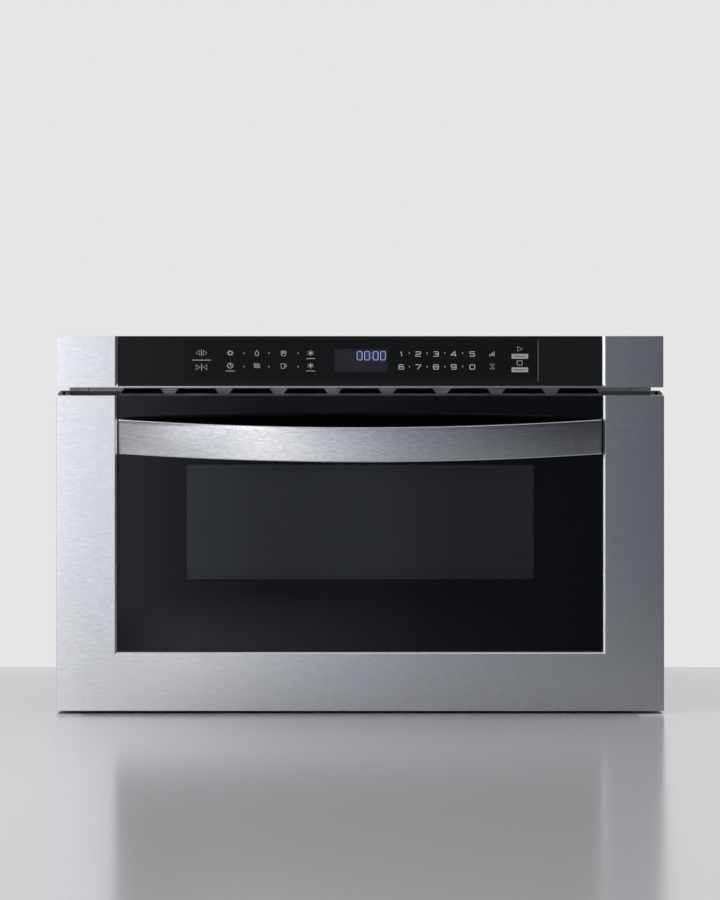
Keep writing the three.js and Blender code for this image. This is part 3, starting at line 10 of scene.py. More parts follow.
import bmesh
import bpy
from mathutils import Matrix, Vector


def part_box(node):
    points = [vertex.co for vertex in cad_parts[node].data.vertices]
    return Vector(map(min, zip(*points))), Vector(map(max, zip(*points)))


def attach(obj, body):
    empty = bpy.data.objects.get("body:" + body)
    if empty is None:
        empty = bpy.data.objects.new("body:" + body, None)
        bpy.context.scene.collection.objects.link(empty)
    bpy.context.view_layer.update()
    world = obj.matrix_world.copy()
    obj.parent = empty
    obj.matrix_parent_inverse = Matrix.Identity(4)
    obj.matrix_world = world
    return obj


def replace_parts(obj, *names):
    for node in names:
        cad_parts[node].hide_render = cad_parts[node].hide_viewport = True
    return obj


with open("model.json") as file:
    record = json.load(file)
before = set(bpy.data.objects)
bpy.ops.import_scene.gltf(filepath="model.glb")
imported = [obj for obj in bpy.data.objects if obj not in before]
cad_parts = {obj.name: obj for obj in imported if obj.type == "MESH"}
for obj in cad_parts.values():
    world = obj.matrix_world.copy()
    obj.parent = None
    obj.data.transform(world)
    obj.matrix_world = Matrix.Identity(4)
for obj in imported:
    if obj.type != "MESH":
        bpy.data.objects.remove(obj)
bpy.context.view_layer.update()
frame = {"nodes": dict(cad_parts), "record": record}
nodes = frame["nodes"]

# ---- places ----

PIXEL = 0.0009974  # metres per pixel of the 720 x 900 picture, at the front face
MIDDLE_COLUMN = 360.2  # picture column of x = 0
FLOOR_ROW = 714.0  # picture row of z = 0 at the front face
SIDES = ((-1, "left"), (1, "right"))
SEAT = 0.00025  # gap between pieces that touch
WINDOW = ((-0.1733, 0.1340), (0.1733, 0.2487))  # its low and its high corner, in x and z

glass_low, glass_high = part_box("door_glass")
panel_low, panel_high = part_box("control_glass")
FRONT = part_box("door_frame")[0].y


def at_x(column):
    """Metres across, from the middle, of a picture column on the front face."""
    return (column - MIDDLE_COLUMN) * PIXEL


def at_z(row):
    """Metres above the shelf of a picture row on the front face."""
    return (FLOOR_ROW - row) * PIXEL


# ---- node helpers ----

class Nodes:
    """Short calls for the nodes of a material or a world."""

    def __init__(self, owner):
        owner.use_nodes = True
        self.tree = owner.node_tree

    def feed(self, socket, value):
        """Links or sets a socket; a colour of three numbers gets its fourth."""
        if isinstance(value, bpy.types.NodeSocket):
            self.tree.links.new(value, socket)
        elif value is not None:
            wide = socket.type == "RGBA" and len(value) == 3
            socket.default_value = (*value, 1) if wide else value

    def make(self, kind, sockets, out=0, **settings):
        """A node with its sockets fed and its settings made; gives one output."""
        node = self.tree.nodes.new("ShaderNode" + kind)
        for key, value in settings.items():
            setattr(node, key, value)
        for key, value in sockets.items():
            self.feed(node.inputs[key], value)
        return node.outputs[out] if out != "all" else node.outputs


class Shades(Nodes):
    """Short calls for one material."""

    def __init__(self, name):
        self.material = bpy.data.materials.new(name)
        super().__init__(self.material)
        self.surface = self.tree.nodes["Principled BSDF"]
        self.place = self.make("TexCoord", {}, "Object")

    def set(self, **values):
        """Feeds the principled shader; underscores stand for spaces."""
        for key, value in values.items():
            self.feed(self.surface.inputs[key.replace("_", " ")], value)
        return self.material

    def show(self, shader):
        """Another shader in place of the principled one."""
        self.feed(self.tree.nodes["Material Output"].inputs["Surface"], shader)
        self.tree.nodes.remove(self.surface)
        return self.material

    def math(self, operation, a, b=None, clamp=False):
        return self.make("Math", {0: a, 1: b}, operation=operation, use_clamp=clamp)

    def times(self, a, b):
        return self.math("MULTIPLY", a, b)

    def reach(self, a, b):
        """Length of the vector (a, b)."""
        squares = [self.math("POWER", part, 2.0) for part in (a, b)]
        return self.math("SQRT", self.math("ADD", *squares))

    def stretch(self, x=1, y=1, z=1, turn=(0, 0, 0)):
        return self.make("Mapping", {"Scale": (x, y, z), "Rotation": turn, "Vector": self.place})

    def noise(self, scale=1, detail=3, rough=0.5, vector=None):
        return self.make("TexNoise", {"Vector": vector or self.place, "Scale": scale,
                                      "Detail": detail, "Roughness": rough}, "Fac")

    def cells(self, scale, feature="F1", output="Distance", vector=None):
        return self.make("TexVoronoi", {"Vector": vector or self.place, "Scale": scale},
                         output, feature=feature)

    def span(self, value, low, high, out_low=0.0, out_high=1.0, smooth=False):
        """value from low to high, as out_low to out_high."""
        return self.make("MapRange", dict(enumerate((value, low, high, out_low, out_high))),
                         interpolation_type="SMOOTHSTEP" if smooth else "LINEAR")

    def drift(self, noise, low=0.0, high=1.0):
        """The middle of a noise, which is nearly all of it, as low to high."""
        return self.span(noise, 0.3, 0.7, low, high)

    def mix(self, share, first, second):
        return self.make("Mix", {"Factor": share, 6: first, 7: second}, 2, data_type="RGBA")

    def bump(self, height, distance, strength=1.0):
        return self.set(Normal=self.make("Bump", {"Strength": strength, "Distance": distance,
                                                  "Height": height}))

    def split(self):
        return self.make("SeparateXYZ", {0: self.place}, "all")


# ---- mesh helpers ----

EDGE_RADIUS = 0.0004
EMBOSS_STEPS = 5
STROKE = 0.00075  # widths of the marks on the control panel
FINE = 0.00055
STROKE_DEPTH = 0.00008


def put(name, data):
    """A new object in the scene."""
    made = bpy.data.objects.new(name, data)
    bpy.context.scene.collection.objects.link(made)
    return made


def stage_mesh(name, points, faces, material):
    """A piece of the studio, which isn't part of the object."""
    mesh = bpy.data.meshes.new(name)
    mesh.from_pydata(points, [], faces)
    mesh.materials.append(material)
    piece = put(name, mesh)
    return piece


def soften(piece, width, angle=35):
    """Rounds the edges that turn by more than angle degrees."""
    edge = piece.modifiers.new("edge", "BEVEL")
    edge.width = width
    edge.segments = 2
    edge.limit_method = "ANGLE"
    edge.angle_limit = math.radians(angle)


def settle(source, name, body, material, smooth=None):
    """Makes an object of a bmesh or a mesh, rides it on a body and gives it its finish."""
    mesh = source
    if isinstance(source, bmesh.types.BMesh):
        mesh = bpy.data.meshes.new(name)
        bmesh.ops.recalc_face_normals(source, faces=source.faces)
        source.to_mesh(mesh)
        source.free()
    piece = put(name, mesh)
    for one in material if isinstance(material, list) else [material]:
        mesh.materials.append(one)
    if smooth:
        mesh.shade_smooth()
        mesh.set_sharp_from_angle(angle=math.radians(smooth))
    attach(piece, body)
    return piece


def add_box(bm, low, high, bevel=0.0):
    """A box between two corners, with rounded edges where bevel is given."""
    made = bmesh.ops.create_cube(bm, size=1.0)["verts"]
    for vert in made:
        vert.co = Vector((a + b) / 2 + part * (b - a) for a, b, part in
                         zip(Vector(low), Vector(high), vert.co))
    if bevel:
        edges = list({edge for vert in made for edge in vert.link_edges})
        bmesh.ops.bevel(bm, geom=edges, offset=bevel, segments=2, profile=0.5, affect="EDGES")


def add_rings(bm, rings, closed=True, caps=True, index=0):
    """A skin over rings of equal length; caps close its two ends."""
    rows = [[bm.verts.new(point) for point in ring] for ring in rings]
    count = len(rows[0])
    for one, two in zip(rows, rows[1:]):
        for i in range(count if closed else count - 1):
            j = (i + 1) % count
            bm.faces.new((one[i], one[j], two[j], two[i])).material_index = index
    if caps:
        for row in (rows[0], rows[-1]):
            bm.faces.new(row).material_index = index


def circle(radius, count=24):
    turns = [2 * math.pi * i / count for i in range(count)]
    return [(radius * math.cos(a), radius * math.sin(a)) for a in turns]


def add_turned(bm, centre, direction, profile, count=24, index=0):
    """A turned shape: profile holds (distance along direction, radius) pairs."""
    turn = Vector(direction).to_track_quat("Z", "Y").to_matrix()
    add_rings(bm, [[Vector(centre) + turn @ Vector((x, y, along)) for x, y in circle(radius, count)]
                   for along, radius in profile], index=index)


def add_screw(bm, centre, direction, radius=0.0036, height=0.0019):
    """Pan-head screw with a cross recess, drawn as raised bars in the second material, which is
    black: painted shade of the recess.
    """
    turn = Vector(direction).to_track_quat("Z", "Y").to_matrix()
    add_turned(bm, centre, direction,
               [(0, radius), (height * 0.45, radius), (height * 0.8, radius * 0.86),
                (height, radius * 0.6), (height, radius * 0.42), (height * 0.35, radius * 0.3)],
               count=20)
    # the recess as raised bars of black: painted shade where the cross is hollow
    for x, y in circle(1, 4):
        x, y = (x - y) * math.sqrt(0.5), (x + y) * math.sqrt(0.5)
        rings = [[Vector(centre) + turn @ Vector(((x * along - y * aside) * radius,
                                                  (y * along + x * aside) * radius, height * up))
                  for aside, up in ((-0.1, 0.98), (0.1, 0.98), (0.1, 1.06), (-0.1, 1.06))]
                 for along in (0.1, 0.62)]
        add_rings(bm, rings, index=1)


def make_screws(name, body, places):
    """Screws as one piece; each place is a centre, a direction and maybe radius and height."""
    bm = bmesh.new()
    for place in places:
        add_screw(bm, *place)
    settle(bm, name, body, [ZINC_PLATED, DEEP_BLACK], smooth=35)


def arc(cx, cz, radius, start, turn, steps):
    """Points from start degrees on, over turn degrees."""
    angles = [math.radians(start + turn * k / steps) for k in range(steps + 1)]
    return [(cx + radius * math.cos(a), cz + radius * math.sin(a)) for a in angles]


def rounded_outline(low, high, radius, steps=4, inset=0):
    """Outline of a rectangle, drawn in by inset, with round corners."""
    x0, z0, x1, z1 = low[0] + inset, low[1] + inset, high[0] - inset, high[1] - inset
    loop = []
    for cx, cz, start in ((x1 - radius, z1 - radius, 0), (x0 + radius, z1 - radius, 90),
                          (x0 + radius, z0 + radius, 180), (x1 - radius, z0 + radius, 270)):
        loop += arc(cx, cz, radius, start, 90, steps)
    return loop


def stadium(half_length, half_height):
    middle = half_length - half_height
    return arc(middle, 0, half_height, -90, 180, 10) + arc(-middle, 0, half_height, 90, 180, 10)


def holed_plate(outer, holes, y_front, y_back):
    """A plate facing front with openings, as a closed bmesh."""
    bm = bmesh.new()
    edges = []
    for loop in [outer, *holes]:
        verts = [bm.verts.new((x, y_front, z)) for x, z in loop]
        edges += [bm.edges.new((verts[i], verts[(i + 1) % len(verts)])) for i in range(len(verts))]
    bmesh.ops.triangle_fill(bm, edges=edges, use_beauty=True)
    bmesh.ops.dissolve_limit(bm, angle_limit=0.01, verts=bm.verts, edges=bm.edges)
    grown = bmesh.ops.extrude_face_region(bm, geom=bm.faces[:])
    bmesh.ops.translate(bm, vec=(0, y_back - y_front, 0),
                        verts=[g for g in grown["geom"] if isinstance(g, bmesh.types.BMVert)])
    return bm


def emboss(name, direction, rise, fields):
    """Raised fields of a sheet, each the width of its shoulder and its outline by inset."""
    bm = bmesh.new()
    for width, outline_at in fields:
        rings = []
        for k in range(EMBOSS_STEPS + 1):
            t = k / EMBOSS_STEPS
            lift = rise * (0.5 - 0.5 * math.cos(math.pi * t))
            rings.append([Vector(point) + Vector(direction) * lift
                          for point in outline_at(width * t)])
        add_rings(bm, rings)
    settle(bm, name, "case", GALVANISED, smooth=50)


def stroke_mesh(strokes, name, material, width=STROKE):
    """Flat ribbons along lists of (x, y, z) points, as one mesh."""
    data = bpy.data.curves.new(name, "CURVE")
    data.dimensions = "3D"
    data.bevel_depth = width / 2
    data.bevel_resolution = 1
    data.use_fill_caps = True
    for points in strokes:
        closed = (Vector(points[0]) - Vector(points[-1])).length < 1e-7
        points = points[:-1] if closed else points
        spline = data.splines.new("POLY")
        spline.points.add(len(points) - 1)
        for target, (x, _, z) in zip(spline.points, points):
            target.co = (x, 0, z, 1)
        spline.use_cyclic_u = closed
    line = put(name, data)
    shown = line.evaluated_get(bpy.context.evaluated_depsgraph_get())
    mesh = bpy.data.meshes.new_from_object(shown)
    place = strokes[0][0][1]
    for vert in mesh.vertices:
        vert.co.y = place + vert.co.y * STROKE_DEPTH / width
    bpy.data.objects.remove(line)
    mesh.name = name
    mesh.materials.clear()
    settle(mesh, name, "case", material)


# ---- materials ----

STEEL = (0.60, 0.605, 0.62)
ZINC = (0.56, 0.57, 0.58)
COOL_GLOSS = (0.86, 0.91, 1.0)
GLASS_IOR = 1.30
PANEL_IOR = 1.13
CORE_HALF = 0.0392  # of the transformer's steel, along the depth
HOLE_PITCH = 0.0025  # from hole to hole of the window's screen, across
HOLE_RISE = 0.00433  # and up, over two rows
PAINTED_WINDOW_SHADE = (0.134, 0.151)  # painted shade: the screen's colour darkens towards the window's foot, where the glass's edge shades it
SCREEN_WEB = (0.0275, 0.0282, 0.0315)
SCREEN_HOLE = (0.0185, 0.0188, 0.0205)


def shade(colour, factor):
    return tuple(part * factor for part in colour)


def brushed_steel(name, depth=1.0, contrast=0.053):
    """Stainless sheet, brushed from side to side: long fine grooves under a short grain.

    depth below 1 draws the pattern out from front to back, for a bowed piece. The tangent
    turns round the object, which is straight across on flat faces.
    """
    s = Shades(name)
    fine = s.noise(1, 5, 0.62, s.stretch(9, 760 * depth, 760))
    grain = s.noise(1, 2, 0.5, s.stretch(180, 560 * depth, 560))
    broad = s.noise(1, 3, 0.5, s.stretch(1.6, 60 * depth, 60))
    tone = s.mix(s.drift(grain), shade(STEEL, 1 - contrast), shade(STEEL, 1 + contrast))
    rough = s.math("ADD", s.drift(fine, 0.195, 0.225), s.drift(s.noise(3, 2), -0.012, 0.02))
    s.set(Base_Color=s.mix(s.drift(broad, 0, 0.2), tone, shade(STEEL, 0.95)), Metallic=1.0,
          Roughness=rough, Anisotropic=0.85, Anisotropic_Rotation=0.25,
          Tangent=s.make("Tangent", {}, direction_type="RADIAL", axis="Z"))
    return s.bump(fine, 0.00002, 0.45)


def plated(name, colour, rough=0.38, spangle=60.0, depth=0.18):
    """Galvanised or zinc-plated sheet with a faint crystal pattern."""
    s = Shades(name)
    tone = s.make("SeparateColor", {0: s.cells(spangle, output="Color")})
    scratch = s.noise(1, 4, 0.7, s.stretch(30, 700, 500, (0.2, 0.1, 0.4)))
    base = s.mix(s.times(tone, depth), colour, shade(colour, 0.62))
    base = s.mix(s.span(s.noise(9, 4), 0.35, 0.7, 0, 0.3), base, shade(colour, 1.22))
    rough = s.math("ADD", s.span(tone, 0, 1, rough - 0.05, rough + 0.06),
                   s.span(scratch, 0.45, 0.7, 0, 0.08))
    s.set(Base_Color=base, Metallic=0.9, Roughness=rough)
    return s.bump(scratch, 0.000006, 0.3)


def moulded(name, colour, rough=0.42, grain=1400.0, bump=0.00006, shift=0.25, ior=1.48):
    """Injection-moulded plastic with a fine spark-eroded grain."""
    s = Shades(name)
    cloud = s.noise(14, 3)
    base = s.mix(s.span(cloud, 0.35, 0.7), shade(colour, 1 - shift / 2), shade(colour, 1 + shift))
    s.set(Base_Color=base, Roughness=s.drift(cloud, rough - 0.05, rough + 0.08), IOR=ior)
    return s.bump(s.cells(grain), bump, 0.6)


def painted(name, colour, rough=0.35):
    """Baked enamel: soft orange peel and sparse darker flecks."""
    s = Shades(name)
    flecks = s.times(s.span(s.cells(900), 0.12, 0.2, 1, 0), s.span(s.noise(220, 2), 0.5, 0.62))
    base = s.mix(s.math("MULTIPLY", flecks, 0.6, clamp=True), colour, shade(colour, 0.45))
    wash = s.noise(6, 4)
    base = s.mix(s.span(wash, 0.35, 0.7, 0, 0.25), base, shade(colour, 0.86))
    s.set(Base_Color=base, Roughness=s.drift(wash, rough - 0.04, rough + 0.07),
          Coat_Weight=0.3, Coat_Roughness=0.12)
    return s.bump(s.noise(260, 3), 0.00012, 0.3)


def clear_glass(name, tint):
    """Tinted float glass, seen through: a pane that lets the lamps in, with a sharp gloss."""
    s = Shades(name)
    seen = s.make("BsdfTransparent", {"Color": tint})
    gloss = s.make("BsdfGlossy", {"Color": COOL_GLOSS,
                                  "Roughness": s.drift(s.noise(5, 2), 0.012, 0.03)})
    share = s.make("Fresnel", {"IOR": GLASS_IOR})
    return s.show(s.make("MixShader", {0: share, 1: seen, 2: gloss}))


def glossy_black(name, colour=(0.006, 0.006, 0.007), rough=0.05, ior=1.5):
    """Black print or lacquer under gloss, with a trace of dust."""
    s = Shades(name)
    base = s.mix(s.span(s.noise(700, 4, 0.7), 0.62, 0.75, 0, 0.04), colour, (0.25, 0.25, 0.26))
    return s.set(Base_Color=base, IOR=ior, Specular_Tint=COOL_GLOSS,
                 Roughness=s.drift(s.noise(4, 3), rough - 0.01, rough + 0.03))


def screen_material():
    """Perforated steel behind the window: staggered round holes, with painted shade that darkens it
    towards the window's foot.
    """
    s = Shades("perforated_screen")
    across, _, up = s.split()

    def to_nearest(shift):
        parts = []
        for value, step in ((across, HOLE_PITCH), (up, HOLE_RISE)):
            part = s.math("FRACT", s.math("ADD", s.math("DIVIDE", value, step), 40.0 + shift))
            parts.append(s.times(s.math("SUBTRACT", part, 0.5), step))
        return s.reach(*parts)

    web = s.span(s.math("MINIMUM", to_nearest(0.0), to_nearest(0.5)), 0.0007, 0.0009)
    steel = s.mix(s.drift(s.noise(20, 3)), SCREEN_WEB, shade(SCREEN_WEB, 1.15))
    # painted shade: the colour darkens towards the foot of the window
    foot = s.span(up, *PAINTED_WINDOW_SHADE, 0.68, 1.0, smooth=True)
    return s.set(Base_Color=s.mix(foot, (0, 0, 0), s.mix(web, SCREEN_HOLE, steel)), Metallic=0.0,
                 Roughness=s.span(web, 0, 1, 0.8, 0.45))


def ceramic_material():
    """Milky glass-ceramic: slightly glossy with a fine speckle."""
    s = Shades("glass_ceramic")
    speck = s.span(s.cells(700), 0.10, 0.16, 1, 0)
    cloud = s.noise(8, 4)
    base = s.mix(s.span(cloud, 0.35, 0.7, 0, 0.5), (0.68, 0.68, 0.66), (0.62, 0.62, 0.61))
    base = s.mix(s.times(speck, 0.25), base, (0.40, 0.40, 0.40))
    return s.set(Base_Color=base, Roughness=s.drift(cloud, 0.14, 0.22), IOR=1.52,
                 Subsurface_Weight=0.12, Subsurface_Scale=0.004)


def brass_material():
    s = Shades("brass")
    cloud = s.noise(120, 4)
    s.set(Base_Color=s.mix(s.span(cloud, 0.35, 0.7), (0.62, 0.45, 0.18), (0.50, 0.36, 0.15)),
          Metallic=1.0, Roughness=s.drift(cloud, 0.25, 0.4))
    return s.bump(cloud, 0.00004, 0.3)


def board_material():
    """Green circuit board with copper runs under the lacquer and rows of pads."""
    s = Shades("board")
    x, _, z = s.split()
    runs = s.span(s.cells(260, "DISTANCE_TO_EDGE", vector=s.stretch(1, 1, 2)), 0.03, 0.06, 1, 0)
    pads = s.times(*[s.span(s.math("PINGPONG", part, 0.00254), 0.0016, 0.002) for part in (x, z)])
    base = s.mix(s.times(runs, 0.5), (0.012, 0.085, 0.04), (0.035, 0.17, 0.08))
    base = s.mix(pads, base, (0.55, 0.50, 0.36))
    s.set(Base_Color=base, Roughness=s.drift(s.noise(30, 3), 0.25, 0.4))
    return s.bump(runs, 0.00005, 0.6)


def mica_material():
    """Pressed mica sheet: pearly flakes in a warm grey sheet."""
    s = Shades("mica")
    tone = s.make("SeparateColor", {0: s.cells(180, output="Color")})
    s.set(Base_Color=s.mix(tone, (0.50, 0.44, 0.34), (0.66, 0.61, 0.51)),
          Roughness=s.span(tone, 0, 1, 0.28, 0.5), Coat_Weight=0.25, Coat_Roughness=0.2)
    return s.bump(tone, 0.00004, 0.5)


def transformer_material():
    """Laminated steel core, sheets upright across it, between lacquered copper coils."""
    low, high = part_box("hv_transformer")
    s = Shades("transformer")
    _, y, z = s.split()
    from_middle = s.math("ABSOLUTE", s.math("SUBTRACT", y, (low.y + high.y) / 2))
    in_core = s.span(from_middle, CORE_HALF, CORE_HALF + 0.0002, 1, 0)
    turns = s.math("PINGPONG", z, 0.0006)
    sheets = s.math("PINGPONG", y, 0.00035)
    tint = s.noise(40, 3)
    copper = s.mix(s.drift(tint), (0.55, 0.21, 0.09), (0.42, 0.14, 0.06))
    copper = s.mix(s.span(turns, 0.0001, 0.0004, 0.6, 0), copper, (0.10, 0.035, 0.02))
    varnished = s.mix(s.span(tint, 0.35, 0.65), (0.24, 0.225, 0.205), (0.165, 0.15, 0.135))
    varnished = s.mix(s.span(sheets, 0.00004, 0.00014, 0.55, 0), varnished, (0.05, 0.045, 0.04))
    s.set(Base_Color=s.mix(in_core, copper, varnished), Metallic=0.85,
          Roughness=s.drift(tint, 0.30, 0.44))
    return s.bump(s.math("ADD", s.times(sheets, in_core),
                         s.times(turns, s.math("SUBTRACT", 1.0, in_core))), 0.0004, 0.7)


def bulb_material():
    """Frosted lamp glass, warm in the middle."""
    s = Shades("lamp_glass")
    frost = s.noise(900, 3)
    s.set(Base_Color=s.mix(s.drift(frost), (0.80, 0.77, 0.70), (0.86, 0.83, 0.76)),
          Roughness=s.drift(frost, 0.22, 0.34), Transmission_Weight=0.35, IOR=1.45)
    return s.bump(frost, 0.00004, 0.4)


def glow(name, colour, strength, base=(0.02, 0.02, 0.02)):
    """Backlit print: an even light with a slight mottle."""
    s = Shades(name)
    tint = s.mix(s.drift(s.noise(900, 2)), shade(colour, 0.9), colour)
    return s.set(Base_Color=base, Roughness=0.5, Emission_Color=tint, Emission_Strength=strength)


def panel_glass_material():
    """Black glass print with a slightly paler field where the touch film lies."""
    s = Shades("panel_glass")
    x, _, z = s.split()

    def between(value, place, *marks):
        a, b, c, d = (place(mark) for mark in marks)
        return s.times(s.span(value, a, b), s.span(value, c, d))

    band = between(z, at_z, 381.3, 380.7, 339.7, 340.3)
    field = between(x, at_x, 183.0, 183.6, 538.8, 538.2)
    edge = between(x, at_x, 537.6, 538.0, 538.9, 538.5)
    base = s.mix(s.times(field, band), (0.0132, 0.0136, 0.0146), (0.0094, 0.0097, 0.0106))
    base = s.mix(s.times(edge, band), base, (0.115, 0.117, 0.122))
    return s.set(Base_Color=base, IOR=PANEL_IOR, Specular_Tint=COOL_GLOSS,
                 Roughness=s.drift(s.noise(4, 3), 0.02, 0.05))


# ---- camera and studio ----

CAMERA_DISTANCE = 4.0  # in front of the object's face
CAMERA_HEIGHT = 0.345
LONG_SIDE = 900 * PIXEL  # of the picture, at the face
PICTURE_MIDDLE_ROW = 450.0
SENSOR = 36.0
TABLE_REACH = 30.0
TABLE_EDGE = 0.36  # back edge of the table top that carries the object
TABLE_THICKNESS = 0.03
POLISH_REACH = (1.8, 4.0)  # from polished to matt, from the middle of the object
FRONT_BACK = -0.233  # back of the drawer front; the case behind it is narrower
PALE = (0.80, 0.80, 0.81)
SKY_STRENGTH = 0.8
LAMPS = (("key", (-2.2, -2.6, 2.8), 2.2, 38.0), ("fill", (2.6, 1.8, 2.6), 2.4, 22.0))
LAMP_TARGET = (0, 0, 0.2)
CARD_START = 0.75  # from the middle of the object
CARD_STEPS = 40
CARD_RADIUS = 7.0
CARD_FOOT = 0.003
CARD_HEIGHT = 7.0
CARD_HALF = 100.0  # degrees to either side of the front
CARD_BEARING = 60.0  # range of the levels, in degrees seen from the camera's mirror image
CARD_NEAR = (1.4, 2.4)  # from the near levels to the far levels, from the object's middle
NEAR_LEVELS = ((-60, 1), (-25, 0.3), (-9, 0.2), (-6.4, 0.05), (-4.8, 1.17), (-3.6, 0.74),
               (-2.6, 1.52), (-1.6, 1.2), (-0.8, 0.95), (0, 0.7), (1.2, 0.42), (2.4, 0.28),
               (3.8, 0.18), (5.5, 0.07), (8, 0.03), (20, 0.02), (40, 0.08), (60, 0.7))
FAR_LEVELS = ((-60, 1), (-47, 2.3), (-25, 0.4), (-13, 0.2), (-9, 0.03), (-6.4, 1.04),
              (-5.3, 4.88), (-4.6, 0.4), (-3.5, 1.37), (-2.2, 0.71), (-1.2, 0.42), (0, 0.45),
              (1.5, 0.24), (3, 0.24), (4, 0.19), (5.5, 0.08), (8, 0.03), (20, 0.02), (40, 0.08),
              (50, 0.2), (60, 0.7))


def make_camera():
    data = bpy.data.cameras.new("camera")
    data.sensor_width = SENSOR
    data.lens = SENSOR * CAMERA_DISTANCE / LONG_SIDE
    data.shift_y = (at_z(PICTURE_MIDDLE_ROW) - CAMERA_HEIGHT) / LONG_SIDE
    camera = put("camera", data)
    camera.location = (at_x(360), FRONT - CAMERA_DISTANCE, CAMERA_HEIGHT)
    camera.rotation_euler = (math.radians(90), 0, 0)
    bpy.context.scene.camera = camera


def floor_material():
    """Pale table top, polished near the object, and matt under it and further out."""
    s = Shades("studio_floor")
    top = s.mix(s.drift(s.noise(180, 3)), (0.47, 0.475, 0.485), (0.49, 0.495, 0.505))
    x, y, _ = s.split()
    half = s.span(y, FRONT_BACK, FRONT_BACK + 0.004, 0.299, 0.277)
    beside = s.math("SUBTRACT", s.math("ABSOLUTE", x), half)
    along = s.times(s.span(y, FRONT, FRONT + 0.004), s.span(y, 0.286, 0.290, 1, 0))
    under = s.times(s.span(beside, 0, 0.004, 1, 0), along)
    far = s.math("MAXIMUM", s.span(s.reach(x, y), *POLISH_REACH, smooth=True), under)
    return s.set(Base_Color=top, Roughness=s.span(far, 0, 1, 0.17, 0.9), IOR=1.45,
                 Specular_IOR_Level=s.span(far, 0, 1, 0.5, 0.0))


def level_ramp(s, bearing, levels):
    """Brightness by bearing, through smooth steps, a little bluer where it is dark."""
    ramp = s.tree.nodes.new("ShaderNodeValToRGB")
    edge = math.radians(CARD_BEARING)
    s.feed(ramp.inputs[0], s.span(bearing, -edge, edge))
    steps = ramp.color_ramp.elements
    while len(steps) > 1:
        steps.remove(steps[-1])
    ramp.color_ramp.interpolation = "EASE"
    for index, (place, level) in enumerate(levels):
        at = (place + CARD_BEARING) / (2 * CARD_BEARING)
        step = steps.new(at) if index else steps[0]
        step.position = at
        cool = max(0.0, 1 - level / 1.3)
        step.color = (level * (1 - 0.07 * cool), level, level * (1.03 + 0.12 * cool), 1)
    return ramp.outputs[0]


def card_material():
    """A reflector round the front: bright at the left, dark at the right."""
    s = Shades("reflector")
    x, y, _ = s.split()
    bearing = s.math("ARCTAN2", x, s.math("SUBTRACT", CAMERA_DISTANCE + FRONT, y))
    near, far = (level_ramp(s, bearing, levels) for levels in (NEAR_LEVELS, FAR_LEVELS))
    lit = s.make("Emission", {"Color": s.mix(s.span(s.reach(x, y), *CARD_NEAR), near, far)})
    return s.show(s.make("MixShader", {0: s.make("NewGeometry", {}, "Backfacing"), 1: lit,
                                       2: s.make("BsdfTransparent", {})}))


def make_sky():
    """An even light from all sides, and a pale backdrop where it is seen or mirrored."""
    world = bpy.data.worlds.new("studio")
    bpy.context.scene.world = world
    n = Nodes(world)
    sky = n.tree.nodes["Background"]
    n.feed(sky.inputs["Color"], (1, 1, 1))
    n.feed(sky.inputs["Strength"], SKY_STRENGTH)
    rays = n.make("LightPath", {}, "all")
    seen = rays["Is Camera Ray"]
    for other in ("Is Glossy Ray", "Is Transmission Ray"):
        seen = n.make("Math", {0: seen, 1: rays[other]}, operation="MAXIMUM")
    pale = n.make("Background", {"Color": PALE})
    both = n.make("MixShader", {0: seen, 1: sky.outputs[0], 2: pale})
    n.feed(n.tree.nodes["World Output"].inputs["Surface"], both)


def make_studio():
    corners = [(-TABLE_REACH, -TABLE_REACH, 0), (TABLE_REACH, -TABLE_REACH, 0),
               (TABLE_REACH, TABLE_EDGE, 0), (-TABLE_REACH, TABLE_EDGE, 0)]
    table = stage_mesh("floor", corners, [(0, 1, 2, 3)], floor_material())
    thick = table.modifiers.new("thick", "SOLIDIFY")
    thick.thickness = TABLE_THICKNESS
    step = CARD_STEPS + 1
    turns = [math.radians(-CARD_HALF + 2 * CARD_HALF * i / CARD_STEPS) for i in range(step)]
    rows = [[(radius * math.sin(a), -radius * math.cos(a), z) for a in turns] for radius, z in
            ((CARD_START, CARD_FOOT), (CARD_RADIUS, CARD_FOOT), (CARD_RADIUS, CARD_HEIGHT))]
    faces = [(i + k, i + k + step, i + k + step + 1, i + k + 1)
             for k in (0, step) for i in range(CARD_STEPS)]
    card = stage_mesh("reflector", sum(rows, []), faces, card_material())
    for kind in ("camera", "diffuse", "shadow", "transmission"):
        setattr(card, "visible_" + kind, False)
    make_sky()
    for name, place, size, power in LAMPS:
        data = bpy.data.lights.new(name, "AREA")
        data.size = size
        data.energy = power
        lamp = put(name, data)
        lamp.location = place
        aim = Vector(LAMP_TARGET) - lamp.location
        lamp.rotation_euler = aim.to_track_quat("-Z", "Y").to_euler()
        lamp.visible_camera = False


bpy.context.scene.view_settings.view_transform = "Standard"
make_camera()
make_studio()


# ---- finishes ----

STAINLESS = brushed_steel("stainless")
HANDLE_STEEL = brushed_steel("handle_steel", 0.02, 0.095)
GALVANISED = plated("galvanised", (0.50, 0.51, 0.53))
ZINC_PLATED = plated("zinc", ZINC, 0.3, 140, 0.05)
GREY_ZINC = plated("grey_zinc", (0.50, 0.50, 0.52), 0.44, 110, 0.10)
MOTOR_STEEL = plated("motor_steel", (0.36, 0.365, 0.38), 0.34, 200, 0.08)
BLACK_PLASTIC = moulded("black_plastic", (0.013, 0.013, 0.014))
ACETAL = moulded("acetal", (0.70, 0.69, 0.65), 0.36, grain=2200, bump=0.00003, shift=0.06)
